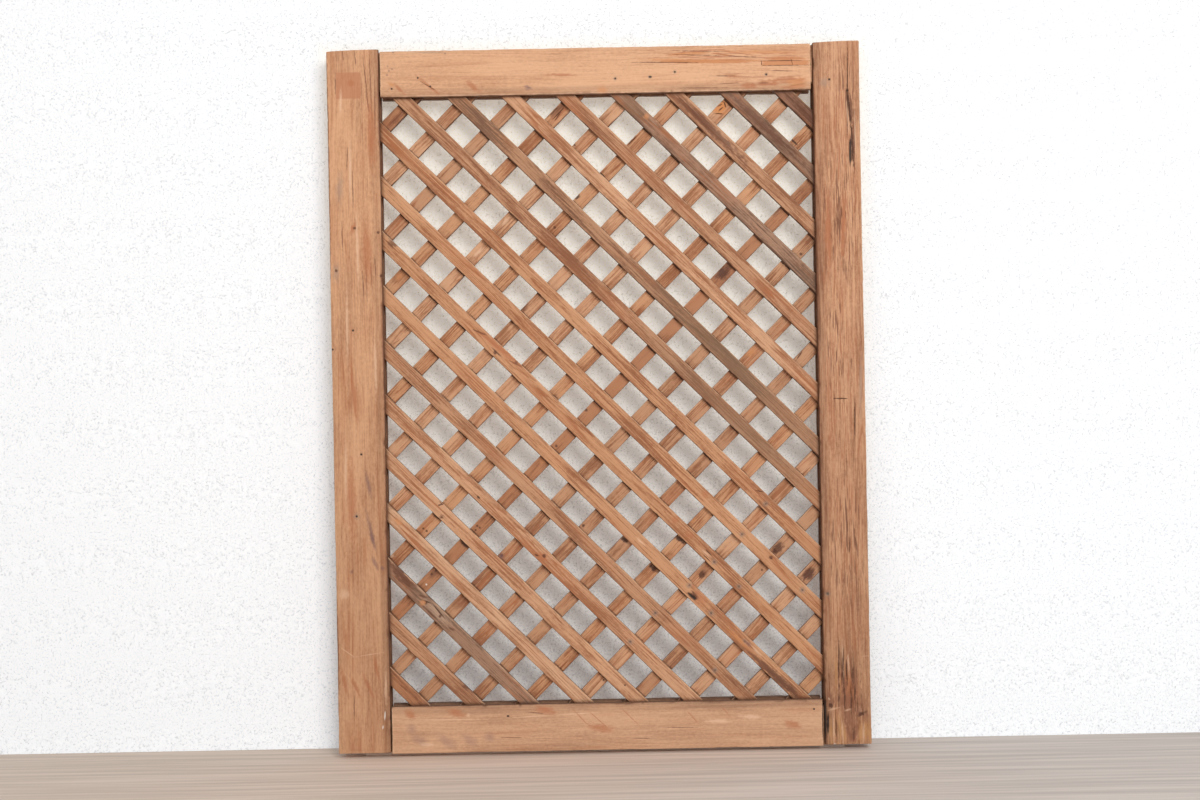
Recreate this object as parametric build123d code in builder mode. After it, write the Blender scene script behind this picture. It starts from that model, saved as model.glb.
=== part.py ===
from build123d import *
import math
import os

# An old wooden lattice screen in its own frame: two stiles and two rails, with
# a mat of crossed laths let into a groove that runs round the opening.
# The panel stands on its bottom rail. X runs to the right, Z up, the front
# faces -Y, and the origin is at the middle of the bottom rail's underside.

# Frame
frame_width = 640.0
frame_height = 844.0
frame_depth = 32.0
left_stile_width = 63.0
right_stile_width = 56.5
top_rail_width = 56.0
bottom_rail_width = 57.0
arris = 1.0

# Stile ends: each top end stands above the top rail and slopes up to the
# right, and the bottom rail reaches below the stiles
stile_top_rise = 1.1
stile_top_slope = 1.7
stile_foot_lift = 1.5

# Groove for the lattice, the same in all four members
groove_depth = 10.0
groove_front_wall = 6.3

# Through tenons in line with the groove, each tightened by two wedges
haunch_height = 16.0
tenon_side_clearance = 0.1
tenon_edge_clearance = 0.1
haunch_end_clearance = 0.5
tenon_end_recess = 0.3
left_shoulder_gap = 1.2
right_shoulder_gap = 1.8
wedge_thickness = 5.0
wedge_length = 30.0
wedge_flare_length = 40.0

# Laths: the front ones fall to the right, the back ones rise to the right
# Each layer shares the opening evenly between its outermost laths, whose middle
# lines pass the opening's corners at the set-back
lath_count = 19
lath_thickness = 7.0
front_lath_width = 17.0
back_lath_width = 16.0
corner_lath_setback = 24.9
lath_slope = 45.0
back_lath_shift = -2.5
lath_play = 0.2
lath_end_clearance = 1.0

# Square cut brads, driven from the back where two laths cross
brad_side = 1.4
brad_hole_clearance = 0.05
brad_point_cover = 1.5
brad_edge_distance = 9.0

# Values worked out from the sizes above
left_x = -frame_width / 2
right_x = frame_width / 2
front_y = -frame_depth / 2
back_y = frame_depth / 2
opening_left = left_x + left_stile_width
opening_right = right_x - right_stile_width
opening_bottom = bottom_rail_width
opening_top = frame_height - top_rail_width
opening_width = opening_right - opening_left
opening_height = opening_top - opening_bottom
opening_x = (opening_left + opening_right) / 2
opening_z = (opening_bottom + opening_top) / 2

groove_front = front_y + groove_front_wall
front_lath_front = groove_front + lath_play
front_lath_back = front_lath_front + lath_thickness
back_lath_back = front_lath_back + lath_thickness
groove_back = back_lath_back + lath_play

# How far a cut runs past the face that it leaves
overrun = 1.0


def slab_plane(back):
    """The XZ plane at the given back face; an extrude from it comes forward."""
    return Plane.XZ.offset(-back)


def area(x_a, x_b, z_a, z_b):
    """A rectangle between two X and two Z values, given in any order."""
    with Locations(((x_a + x_b) / 2, (z_a + z_b) / 2)):
        Rectangle(abs(x_b - x_a), abs(z_b - z_a))


def tenon_edges(inner_z, outer_z):
    """The tenon's two edges: beside the groove, and beside the haunch."""
    outward = math.copysign(1, outer_z - inner_z)
    return inner_z + outward * groove_depth, outer_z - outward * haunch_height


def mortise_outline(inner_x, outer_x, inner_z, outer_z):
    """A through mortise that flares towards the stile's outer side."""
    away = math.copysign(1, outer_x - inner_x)
    flare_x = outer_x - away * wedge_flare_length
    mouth_x = outer_x + away * overrun
    mouth_share = 1 + overrun / wedge_flare_length
    opened = tenon_edge_clearance + (wedge_thickness + tenon_edge_clearance) * mouth_share
    low, high = sorted(tenon_edges(inner_z, outer_z))
    low_wall = low - tenon_edge_clearance
    high_wall = high + tenon_edge_clearance
    with BuildLine() as outline:
        Polyline(
            (inner_x, low_wall),
            (flare_x, low_wall),
            (mouth_x, low - opened),
            (mouth_x, high + opened),
            (flare_x, high_wall),
            (inner_x, high_wall),
            close=True,
        )
    make_face(outline.edges())


def make_stile(label, inner_x, outer_x):
    """An upright with its groove, its two mortises and a sloping top end."""
    away = math.copysign(1, outer_x - inner_x)
    low_x, high_x = sorted((inner_x, outer_x))
    top = frame_height + stile_top_rise
    with BuildPart() as stile:
        with BuildSketch(slab_plane(back_y)):
            with BuildLine():
                Polyline(
                    (low_x, stile_foot_lift),
                    (high_x, stile_foot_lift),
                    (high_x, top + stile_top_slope),
                    (low_x, top),
                    close=True,
                )
            make_face()
        extrude(amount=frame_depth)
        chamfer(stile.edges().filter_by(Axis.Z), length=arris)
        with BuildSketch(slab_plane(groove_back)):
            area(
                inner_x - away * overrun,
                inner_x + away * groove_depth,
                stile_foot_lift - overrun,
                top + stile_top_slope + overrun,
            )
            mortise_outline(inner_x, outer_x, opening_bottom, 0)
            mortise_outline(inner_x, outer_x, opening_top, frame_height)
        extrude(amount=groove_back - groove_front, mode=Mode.SUBTRACT)
    stile.part.label = label
    return stile


def tenon_area(shoulder_x, inner_x, outer_x, inner_z, outer_z):
    """The tenon that runs through the stile, and its short haunch."""
    away = math.copysign(1, outer_x - inner_x)
    inner_edge, haunch_edge = tenon_edges(inner_z, outer_z)
    tenon_end = outer_x - away * tenon_end_recess
    haunch_end = inner_x + away * (groove_depth - haunch_end_clearance)
    root = shoulder_x - away * overrun
    area(root, tenon_end, inner_edge, haunch_edge)
    area(root, haunch_end, inner_edge, outer_z)


def make_rail(label, inner_z, outer_z):
    """A rail between the stiles, grooved on its inner edge, with two tenons."""
    outward = math.copysign(1, outer_z - inner_z)
    left_shoulder = opening_left + left_shoulder_gap
    right_shoulder = opening_right - right_shoulder_gap
    with BuildPart() as rail:
        with BuildSketch(slab_plane(back_y)):
            area(left_shoulder, right_shoulder, inner_z, outer_z)
        extrude(amount=frame_depth)
        chamfer(rail.edges().filter_by(Axis.X), length=arris)
        with BuildSketch(slab_plane(groove_back)):
            area(
                left_shoulder - overrun,
                right_shoulder + overrun,
                inner_z - outward * overrun,
                inner_z + outward * groove_depth,
            )
        extrude(amount=groove_back - groove_front, mode=Mode.SUBTRACT)
        with BuildSketch(slab_plane(groove_back - tenon_side_clearance)):
            tenon_area(left_shoulder, opening_left, left_x, inner_z, outer_z)
            tenon_area(right_shoulder, opening_right, right_x, inner_z, outer_z)
        extrude(amount=groove_back - groove_front - 2 * tenon_side_clearance)
    rail.part.label = label
    return rail


def wedge_outline(outer_x, away, edge_z, outward):
    """A wedge on one edge of a tenon, its thick end at the stile's outer side."""
    seat_z = edge_z + outward * tenon_edge_clearance
    head_x = outer_x - away * tenon_end_recess
    point_x = outer_x - away * wedge_length
    head_share = 1 - tenon_end_recess / wedge_flare_length
    point_share = 1 - wedge_length / wedge_flare_length
    with BuildLine() as outline:
        Polyline(
            (head_x, seat_z),
            (head_x, seat_z + outward * wedge_thickness * head_share),
            (point_x, seat_z + outward * wedge_thickness * point_share),
            (point_x, seat_z),
            close=True,
        )
    make_face(outline.edges())


def make_wedges():
    """The eight wedges, two to each through tenon."""
    with BuildPart() as wedges:
        with BuildSketch(slab_plane(groove_back - tenon_side_clearance)):
            for outer_x, away in ((left_x, -1), (right_x, 1)):
                for inner_z, outer_z in ((opening_bottom, 0), (opening_top, frame_height)):
                    low, high = sorted(tenon_edges(inner_z, outer_z))
                    wedge_outline(outer_x, away, low, -1)
                    wedge_outline(outer_x, away, high, 1)
        extrude(amount=groove_back - groove_front - 2 * tenon_side_clearance)
    wedges.part.label = "tenon_wedges"
    return wedges


def lath_offsets(shift):
    """Distances of the laths' middle lines from the opening's centre."""
    slope = math.radians(lath_slope)
    reach = (opening_width * math.sin(slope) + opening_height * math.cos(slope)) / 2
    outermost = reach - corner_lath_setback
    pitch = 2 * outermost / (lath_count - 1)
    return [shift - outermost + pitch * step for step in range(lath_count)]


def crossing(front_offset, back_offset):
    """Where the middle lines of a front lath and a back lath cross."""
    slope = math.radians(lath_slope)
    across = (front_offset - back_offset) / (2 * math.sin(slope))
    along = (front_offset + back_offset) / (2 * math.cos(slope))
    return opening_x + across, opening_z + along


def is_open(point):
    """True where a crossing lies clear of the frame."""
    clear_x = opening_width / 2 - brad_edge_distance
    clear_z = opening_height / 2 - brad_edge_distance
    return abs(point[0] - opening_x) < clear_x and abs(point[1] - opening_z) < clear_z


def make_lath(label, offset, falls, width, back, holes, hole_depth):
    """A lath cut off along the frame and seated in the groove at both ends.

    The strip runs at the lath's slope, offset square to its own length from
    the opening's centre. Its brad holes are sunk from the back.
    """
    turn = -lath_slope if falls else lath_slope
    slope = math.radians(lath_slope)
    side = 1 if falls else -1
    middle_x = opening_x + side * offset * math.sin(slope)
    middle_z = opening_z + offset * math.cos(slope)
    seat = 2 * (groove_depth - lath_end_clearance)
    with BuildPart() as lath:
        with BuildSketch(slab_plane(back)):
            with Locations(Location((middle_x, middle_z, 0), (0, 0, turn))):
                Rectangle(frame_width + frame_height, width)
            with Locations((opening_x, opening_z)):
                Rectangle(opening_width + seat, opening_height + seat, mode=Mode.INTERSECT)
        extrude(amount=lath_thickness)
        if holes:
            hole_side = brad_side + 2 * brad_hole_clearance
            with BuildSketch(slab_plane(back)):
                with Locations(*holes):
                    Rectangle(hole_side, hole_side)
            extrude(amount=hole_depth, mode=Mode.SUBTRACT)
    lath.part.label = label
    return lath


def make_brads(points):
    """The brads, headless, flush with the back of the lattice."""
    with BuildPart() as brads:
        with BuildSketch(slab_plane(back_lath_back)):
            with Locations(*points):
                Rectangle(brad_side, brad_side)
        extrude(amount=2 * lath_thickness - brad_point_cover)
    brads.part.label = "lattice_brads"
    return brads


front_offsets = lath_offsets(0)
back_offsets = lath_offsets(back_lath_shift)

pieces = [
    make_stile("left_stile", opening_left, left_x),
    make_stile("right_stile", opening_right, right_x),
    make_rail("top_rail", opening_top, frame_height),
    make_rail("bottom_rail", opening_bottom, 0),
    make_wedges(),
]

brad_points = []
for number, front_offset in enumerate(front_offsets, 1):
    points = [crossing(front_offset, back_offset) for back_offset in back_offsets]
    held = [point for point in points if is_open(point)]
    brad_points += held
    name = f"front_lath_{number:02d}"
    depth = lath_thickness - brad_point_cover
    pieces.append(make_lath(name, front_offset, True, front_lath_width, front_lath_back, held, depth))

for number, back_offset in enumerate(back_offsets, 1):
    points = [crossing(front_offset, back_offset) for front_offset in front_offsets]
    held = [point for point in points if is_open(point)]
    name = f"back_lath_{number:02d}"
    pieces.append(make_lath(name, back_offset, False, back_lath_width, back_lath_back, held, lath_thickness))

pieces.append(make_brads(brad_points))

os.makedirs("parts", exist_ok=True)
for piece in pieces:
    export_step(piece.part, f"parts/{piece.part.label}.step")

print(len(pieces), "nodes")
print(len(front_offsets), "front laths,", len(back_offsets), "back laths,", len(brad_points), "brads")
print("opening", opening_width, "x", opening_height, "lath pitch", front_offsets[1] - front_offsets[0])
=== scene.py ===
# %% [markdown]
# # An old lattice screen
# The screen is a mat of crossed wooden laths let into a frame of two stiles and two rails.
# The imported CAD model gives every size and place. This lesson dresses it: each board becomes
# a worn surface worked out with numpy, and each surface gets wood made of shader nodes.

# %% Load the frame
import bmesh
import bpy
import math
import numpy as np
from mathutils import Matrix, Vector


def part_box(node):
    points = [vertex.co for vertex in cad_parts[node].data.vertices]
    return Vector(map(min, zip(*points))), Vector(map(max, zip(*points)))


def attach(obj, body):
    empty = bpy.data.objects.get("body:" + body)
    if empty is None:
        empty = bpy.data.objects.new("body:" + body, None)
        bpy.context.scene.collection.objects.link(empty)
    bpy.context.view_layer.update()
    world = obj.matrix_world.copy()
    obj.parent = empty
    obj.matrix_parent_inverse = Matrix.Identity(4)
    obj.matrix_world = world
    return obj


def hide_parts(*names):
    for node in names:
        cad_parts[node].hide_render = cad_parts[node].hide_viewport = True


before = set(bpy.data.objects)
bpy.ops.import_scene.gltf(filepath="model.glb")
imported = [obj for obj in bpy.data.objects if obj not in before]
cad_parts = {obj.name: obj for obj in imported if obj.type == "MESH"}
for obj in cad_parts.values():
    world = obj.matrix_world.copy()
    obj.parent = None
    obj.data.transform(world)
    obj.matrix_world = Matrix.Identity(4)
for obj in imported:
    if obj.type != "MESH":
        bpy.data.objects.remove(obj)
bpy.context.view_layer.update()
mm = 0.001

# %% [markdown]
# ## What the CAD says
# The opening, the two lath layers and the groove are read from the boxes of the CAD nodes.
# Only the numbers that no box gives, such as how the laths are spaced, are written again here.

# %% Read the main lines of the frame
left_low, left_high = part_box("left_stile")
right_low, right_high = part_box("right_stile")
top_low, top_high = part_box("top_rail")
bottom_low, bottom_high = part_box("bottom_rail")
front_y, back_y = left_low.y, left_high.y
opening_left, opening_right = left_high.x, right_low.x
opening_bottom, opening_top = bottom_high.z, top_low.z
opening_x = (opening_left + opening_right) / 2
opening_z = (opening_bottom + opening_top) / 2
front_layer = (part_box("front_lath_10")[0].y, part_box("front_lath_10")[1].y)
back_layer = (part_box("back_lath_10")[0].y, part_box("back_lath_10")[1].y)
print("opening", opening_left, opening_right, opening_bottom, opening_top)
print("layers", front_layer, back_layer)

# %% Sizes that the boxes do not give
lath_count = 19
front_lath_width = 17 * mm
back_lath_width = 16 * mm
corner_lath_setback = 24.9 * mm
back_lath_shift = -2.5 * mm
lath_play = 0.2 * mm
groove_depth = 10 * mm
lath_seat = 9 * mm
groove_front = front_layer[0] - lath_play
groove_back = back_layer[1] + lath_play
diagonal = math.sqrt(0.5)
reach = (opening_right - opening_left + opening_top - opening_bottom) * diagonal / 2
lath_pitch = 2 * (reach - corner_lath_setback) / (lath_count - 1)
print("lath pitch", lath_pitch)

# %% [markdown]
# ## Camera
# The photograph looks straight at the screen from about 2.1 m, and leans a degree,
# so that the screen's right side stands higher in the picture.

# %% Place the camera
camera_distance = 2.1
camera_aim = (1.2 * mm, 420.4 * mm)
camera_lean = math.radians(1.07)
sensor_width = 36
lens_length = 52.5
camera_data = bpy.data.cameras.new("Camera")
camera_data.sensor_width = sensor_width
camera_data.lens = lens_length
camera = bpy.data.objects.new("Camera", camera_data)
camera.location = (camera_aim[0], front_y - camera_distance, camera_aim[1])
camera.rotation_euler = (math.pi / 2, camera_lean, 0)
bpy.context.scene.collection.objects.link(camera)
bpy.context.scene.camera = camera
bpy.context.scene.view_settings.view_transform = "Standard"
print("camera at", [round(v, 4) for v in camera.location], "with a lens of", lens_length, "mm")

# %% [markdown]
# ## Node helpers
# Every material below is a small tree of nodes. `put` adds one node and wires it in a line,
# and `calc` adds one sum. A value that is a socket is linked, and any other value is typed in.

# %% Helpers for nodes


def fill_inputs(tree, node, inputs):
    """Links the inputs that are given as sockets, and types the others in."""
    for name, value in (inputs or {}).items():
        if isinstance(value, bpy.types.NodeSocket):
            tree.links.new(value, node.inputs[name])
        else:
            node.inputs[name].default_value = value
    return node


def put(tree, kind, inputs=None, **settings):
    """Adds one shader node, sets its options, and fills its inputs."""
    node = tree.nodes.new("ShaderNode" + kind)
    for name, value in settings.items():
        setattr(node, name, value)
    return fill_inputs(tree, node, inputs)


def calc(tree, operation, a, b=0.0, c=0.0):
    """One sum on one, two or three values."""
    return put(tree, "Math", {0: a, 1: b, 2: c}, operation=operation).outputs[0]


def ramp(tree, value, low, high, out_low=0.0, out_high=1.0):
    """Carries a value from one range to another with an eased, clamped step."""
    inputs = {"Value": value, "From Min": low, "From Max": high, "To Min": out_low, "To Max": out_high}
    return put(tree, "MapRange", inputs, interpolation_type="SMOOTHSTEP").outputs["Result"]


def blend_colours(tree, share, a, b, how="MIX"):
    """Mixes two colours by a share from 0 to 1."""
    made = put(tree, "Mix", {0: share, 6: a, 7: b}, data_type="RGBA", blend_type=how, clamp_factor=True)
    return made.outputs[2]


# %% Helpers for patterns


def stretched(tree, vector, factors):
    """Multiplies a vector part by part, so that a pattern is stretched."""
    return put(tree, "VectorMath", {0: vector, 1: factors}, operation="MULTIPLY").outputs[0]


def noise(tree, vector, detail=2.0, roughness=0.5):
    """Smooth noise of scale 1 on a vector that already has its scale."""
    inputs = {"Vector": vector, "Scale": 1.0, "Detail": detail, "Roughness": roughness}
    return put(tree, "TexNoise", inputs)


# %% Helpers for groups and materials


def new_group(name, inputs, outputs):
    """A shader node group with named sockets; returns its tree, its input node and its output node."""
    kinds = {"value": "NodeSocketFloat", "colour": "NodeSocketColor", "vector": "NodeSocketVector"}
    tree = bpy.data.node_groups.new(name, "ShaderNodeTree")
    for socket_name, kind, default in inputs:
        socket = tree.interface.new_socket(name=socket_name, in_out="INPUT", socket_type=kinds[kind])
        socket.default_value = default
    for socket_name, kind in outputs:
        tree.interface.new_socket(name=socket_name, in_out="OUTPUT", socket_type=kinds[kind])
    return tree, tree.nodes.new("NodeGroupInput"), tree.nodes.new("NodeGroupOutput")


def place_group(tree, group, inputs=None):
    """Puts a node group into a tree."""
    node = tree.nodes.new("ShaderNodeGroup")
    node.node_tree = group
    return fill_inputs(tree, node, inputs)


def new_material(name):
    """An empty node material; returns it with its tree and its Principled shader."""
    material = bpy.data.materials.new(name)
    material.use_nodes = True
    shader = material.node_tree.nodes["Principled BSDF"]
    return material, material.node_tree, shader


# %% [markdown]
# ## Floor and backdrop
# The screen stands on a plain pale floor, close to a pale backdrop that leans towards its
# top. A low pad, hidden under the bottom rail, lifts it off the floor, so that a dark line of shade
# shows below. The backdrop shows only to what looks at it from the front, so the screen's back
# stays lit and visible. Its colour and glow paint light and shade: dim and bluish low down,
# cream and glowing higher up, and glowing fully outside the screen, where no shadow of it is painted.

# %% Make the stage


def stage_mesh(name, corners, faces):
    """A plain mesh that belongs to the stage."""
    mesh = bpy.data.meshes.new(name)
    mesh.from_pydata(corners, [], faces)
    sheet = bpy.data.objects.new(name, mesh)
    bpy.context.scene.collection.objects.link(sheet)
    return sheet


stage_reach = 5.0
floor_z = -4.5 * mm
backdrop_foot_y = back_y + 34 * mm
backdrop_top_y = back_y + 6 * mm
backdrop_bend_z = 0.95
pad_half, pad_near, pad_far = 290 * mm, 2 * mm, 14 * mm
floor_plan = [(-stage_reach, -stage_reach), (stage_reach, -stage_reach),
              (stage_reach, stage_reach), (-stage_reach, stage_reach)]
floor = stage_mesh("floor", [(x, y, floor_z) for x, y in floor_plan], [(0, 1, 2, 3)])
pad_plan = [(-pad_half, pad_near), (pad_half, pad_near), (pad_half, pad_far), (-pad_half, pad_far)]
pad = stage_mesh("pad", [(x, y, z) for z in (floor_z, 0) for x, y in pad_plan],
                 [(4, 5, 6, 7), (0, 1, 5, 4), (1, 2, 6, 5), (2, 3, 7, 6), (3, 0, 4, 7)])
backdrop_lines = [
    (backdrop_foot_y, floor_z), (backdrop_top_y, backdrop_bend_z), (backdrop_top_y, stage_reach)]
backdrop = stage_mesh("backdrop", [(side * stage_reach, y, z) for y, z in backdrop_lines for side in (-1, 1)],
                      [(0, 1, 3, 2), (2, 3, 5, 4)])
print("stage:", floor.name, pad.name, backdrop.name)

# %% Floor material
warm_boards = [(0.72, 0.59, 0.49, 1), (0.92, 0.77, 0.66, 1)]
cool_boards = [(0.66, 0.59, 0.54, 1), (0.86, 0.77, 0.71, 1)]
board_stretch = (3.0, 90.0, 1.0)
floor_material, tree, shader = new_material("Pale floor")
here = put(tree, "TexCoord").outputs["Object"]
boards = ramp(tree, noise(tree, stretched(tree, here, board_stretch), 3.0).outputs["Fac"], 0.3, 0.7)
aside = ramp(tree, put(tree, "SeparateXYZ", {0: here}).outputs["X"], -0.4, 0.5)
floor_left = blend_colours(tree, boards, *warm_boards)
floor_right = blend_colours(tree, boards, *cool_boards)
tree.links.new(blend_colours(tree, aside, floor_left, floor_right), shader.inputs["Base Color"])
shader.inputs["Roughness"].default_value = 0.8
floor.data.materials.append(floor_material)
pad.data.materials.append(floor_material)
print(floor_material.name, len(tree.nodes), "nodes")

# %% Backdrop colour and glow, painted light and shade
# Painted light and shade: behind the lattice the backdrop is dim and bluish low down and cream and glowing
# higher up, as the screen's shadow would make it.
backdrop_painted_shades = {"low": (0.885, 0.925, 0.935, 1), "high": (0.835, 0.82, 0.755, 1),
                    "outside": (0.75, 0.75, 0.75, 1)}
backdrop_painted_light = {"low": (0.076, 0.080, 0.085, 1), "high": (0.335, 0.320, 0.288, 1),
                  "outside": (0.31, 0.34, 0.37, 1)}
grit_scale = (430.0, 430.0, 430.0)
backdrop_material, tree, shader = new_material("Pale backdrop with painted light")
here = put(tree, "TexCoord").outputs["Object"]
place = put(tree, "SeparateXYZ", {0: here}).outputs
# Painted light: colour and glow change with height, and outside the screen's area the backdrop gets the
# outside colour and a strong glow.
light_rise = ramp(tree, place["Z"], 0.0, 0.85)
beside = ramp(tree, calc(tree, "ABSOLUTE", place["X"]), 0.315, 0.345)
outside = calc(tree, "MAXIMUM", beside, ramp(tree, place["Z"], 0.84, 0.87))
grit = noise(tree, stretched(tree, here, grit_scale), 4.0, 0.8).outputs["Fac"]
speck = ramp(tree, grit, 0.30, 0.54, 0.62, 1.0)
for socket, shades in (("Base Color", backdrop_painted_shades), ("Emission Color", backdrop_painted_light)):
    shade = blend_colours(tree, light_rise, shades["low"], shades["high"])
    shade = blend_colours(tree, outside, shade, shades["outside"])
    tree.links.new(blend_colours(tree, 1.0, shade, speck, "MULTIPLY"), shader.inputs[socket])
shader.inputs["Emission Strength"].default_value = 1.0
shader.inputs["Roughness"].default_value = 0.9
rough = put(tree, "Bump", {"Height": grit, "Strength": 0.35, "Distance": 2 * mm}).outputs[0]
tree.links.new(rough, shader.inputs["Normal"])
print(backdrop_material.name, len(tree.nodes), "nodes")

# %% The backdrop shows only from the front
path = put(tree, "LightPath").outputs
mirrored = calc(tree, "MAXIMUM", path["Is Glossy Ray"], path["Is Transmission Ray"])
looked_at = calc(tree, "MAXIMUM", path["Is Camera Ray"], mirrored)
from_front = calc(tree, "SUBTRACT", 1.0, put(tree, "NewGeometry").outputs["Backfacing"])
shown = calc(tree, "MULTIPLY", looked_at, from_front)
clear = put(tree, "BsdfTransparent").outputs[0]
either = put(tree, "MixShader", {0: shown, 1: clear, 2: shader.outputs[0]}).outputs[0]
tree.links.new(either, tree.nodes["Material Output"].inputs["Surface"])
backdrop.data.materials.append(backdrop_material)
print(backdrop_material.name, "is clear from behind:", len(tree.nodes), "nodes")

# %% [markdown]
# ## Light
# Two large soft lamps stand in front, a stronger one to the right and a weak one to the left, and
# the world lights the rest evenly. The world is white where the camera or a gloss looks at it.

# %% Lamps


def soft_lamp(name, place, aim, size, power, colour):
    """A large square lamp that looks at a point."""
    data = bpy.data.lights.new(name, "AREA")
    data.size = size
    data.energy = power
    data.color = colour
    lamp = bpy.data.objects.new(name, data)
    lamp.location = place
    lamp.rotation_euler = (Vector(aim) - Vector(place)).to_track_quat("-Z", "Y").to_euler()
    bpy.context.scene.collection.objects.link(lamp)
    return lamp


key_lamp = soft_lamp("Key lamp", place=(0.95, -3.1, 1.6), aim=(0, 0, 0.45), size=1.2, power=60,
                     colour=(1.0, 0.99, 0.97))
fill_lamp = soft_lamp("Fill lamp", place=(-1.0, -2.8, 0.9), aim=(0, 0, 0.5), size=2.4, power=11,
                      colour=(0.97, 0.99, 1.0))
print("lamps:", key_lamp.name, fill_lamp.name)

# %% World
world_light = 0.43
world_seen = 1.0
world = bpy.data.worlds.new("World")
bpy.context.scene.world = world
world.use_nodes = True
tree = world.node_tree
background = tree.nodes["Background"].inputs
path = put(tree, "LightPath").outputs
looked_at = calc(tree, "MAXIMUM", path["Is Camera Ray"], path["Is Glossy Ray"])
tree.links.new(ramp(tree, looked_at, 0, 1, world_light, world_seen), background["Strength"])
background["Color"].default_value = (1, 1, 1, 1)
print("world:", world.name, "strength", world_light)

# %% [markdown]
# ## Worn surfaces
# Old boards are never quite straight or flat. A seeded table of random heights, read with eased
# steps in between, gives a drift along a board or a relief over its faces. Every change takes
# wood away, so a worn board stays inside its CAD solid.

# %% Drift and relief


def eased(share):
    """A share from 0 to 1 with soft ends: three squares less two cubes."""
    return share * share * (3 - 2 * share)


def drift(along, step, rng):
    """Random curve from 0 to 1: heights one step apart, joined by eased shares."""
    place = (along - along.min()) / step
    low = place.astype(int)
    heights = rng.random(low.max() + 2)
    share = eased(place - low)
    return heights[low] * (1 - share) + heights[low + 1] * share


def relief(along, around, long_step, round_count, rng):
    """Random surface from 0 to 1 on a closed ring: heights on a grid, blended both ways.

    along is in metres, around runs from 0 to 1 and joins itself.
    """
    a = (along - along.min()) / long_step
    r = around * round_count
    i, j = a.astype(int), r.astype(int)
    heights = rng.random((i.max() + 2, round_count))
    u, v = eased(a - i), eased(r - j)
    j, k = j % round_count, (j + 1) % round_count
    near = heights[i, j] * (1 - u) + heights[i + 1, j] * u
    far = heights[i, k] * (1 - u) + heights[i + 1, k] * u
    return near * (1 - v) + far * v


def turn_outwards(mesh):
    """Makes all faces agree, then turns them over if the volume that they enclose is negative."""
    body = bmesh.new()
    body.from_mesh(mesh)
    bmesh.ops.recalc_face_normals(body, faces=body.faces)
    if body.calc_volume(signed=True) < 0:
        bmesh.ops.reverse_faces(body, faces=body.faces)
    body.to_mesh(mesh)
    body.free()


def make_piece(name, rings, end_faces, nodes):
    """Makes a closed mesh from a grid of rings, joined along the board, and seats it on the frame.

    rings has the shape (stations, points on the ring, 3). end_faces lists faces on one ring,
    which close both ends.
    """
    stations, points = rings.shape[:2]
    first = np.arange(points)
    second = np.roll(first, -1)
    quads = np.stack([first, second, second + points, first + points], axis=1)
    sides = (quads[None] + (np.arange(stations - 1) * points)[:, None, None]).reshape(-1, 4)
    faces = sides.tolist() + end_faces
    faces += [[p + (stations - 1) * points for p in reversed(face)] for face in end_faces]
    mesh = bpy.data.meshes.new(name)
    mesh.from_pydata(rings.reshape(-1, 3).tolist(), [], faces)
    turn_outwards(mesh)
    piece = bpy.data.objects.new(name, mesh)
    bpy.context.scene.collection.objects.link(piece)
    if nodes:
        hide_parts(*nodes)
        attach(piece, "root")
    return piece


def finish_shading(piece, angle=35):
    """Smooth shading that keeps edges sharper than an angle."""
    piece.data.shade_smooth()
    piece.data.set_sharp_from_angle(angle=math.radians(angle))


def keep_share(piece, name, share):
    """Stores a share from 0 to 1 on each vertex, such as wear or grime, for the material to read."""
    attribute = piece.data.attributes.new(name, "FLOAT", "POINT")
    attribute.data.foreach_set("value", np.clip(share, 0, 1).astype(np.float32).ravel())


# %% [markdown]
# ## The laths
# A lath is a sawn strip, 7 mm thick, with its arrises rubbed round. Its cross section is a
# rounded rectangle whose corner radii and sides drift along the length. The ring of section
# points is carried along the lath, and each line along it ends where it meets the groove.

# %% Faces of a lath
arc_steps = 3
flat_steps = 5
station_step = 2.5 * mm
fewest_stations = 8


def lath_row(half, radius_low, radius_high, depth, face_sign):
    """Section points across one face of a lath, from one side to the other.

    Each corner is an arc: centre plus radius times (cos, sin) of an angle. The flat between
    the arcs is shared out evenly.
    """
    turn = np.linspace(0, math.pi / 2, arc_steps + 1)
    low_across = -half[0][:, None] + radius_low[:, None] * (1 - np.cos(turn))
    low_depth = depth[:, None] - face_sign * radius_low[:, None] * (1 - np.sin(turn))
    high_across = half[1][:, None] - radius_high[:, None] * (1 - np.cos(turn))
    high_depth = depth[:, None] - face_sign * radius_high[:, None] * (1 - np.sin(turn))
    share = np.linspace(0, 1, flat_steps + 2)[1:-1]
    flat_across = low_across[:, -1:] * (1 - share) + high_across[:, -1:] * share
    flat_depth = np.repeat(depth[:, None], flat_steps, axis=1)
    across = np.concatenate([low_across, flat_across, high_across[:, ::-1]], axis=1)
    deep = np.concatenate([low_depth, flat_depth, high_depth[:, ::-1]], axis=1)
    return across, deep


# %% Section of a worn lath


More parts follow.
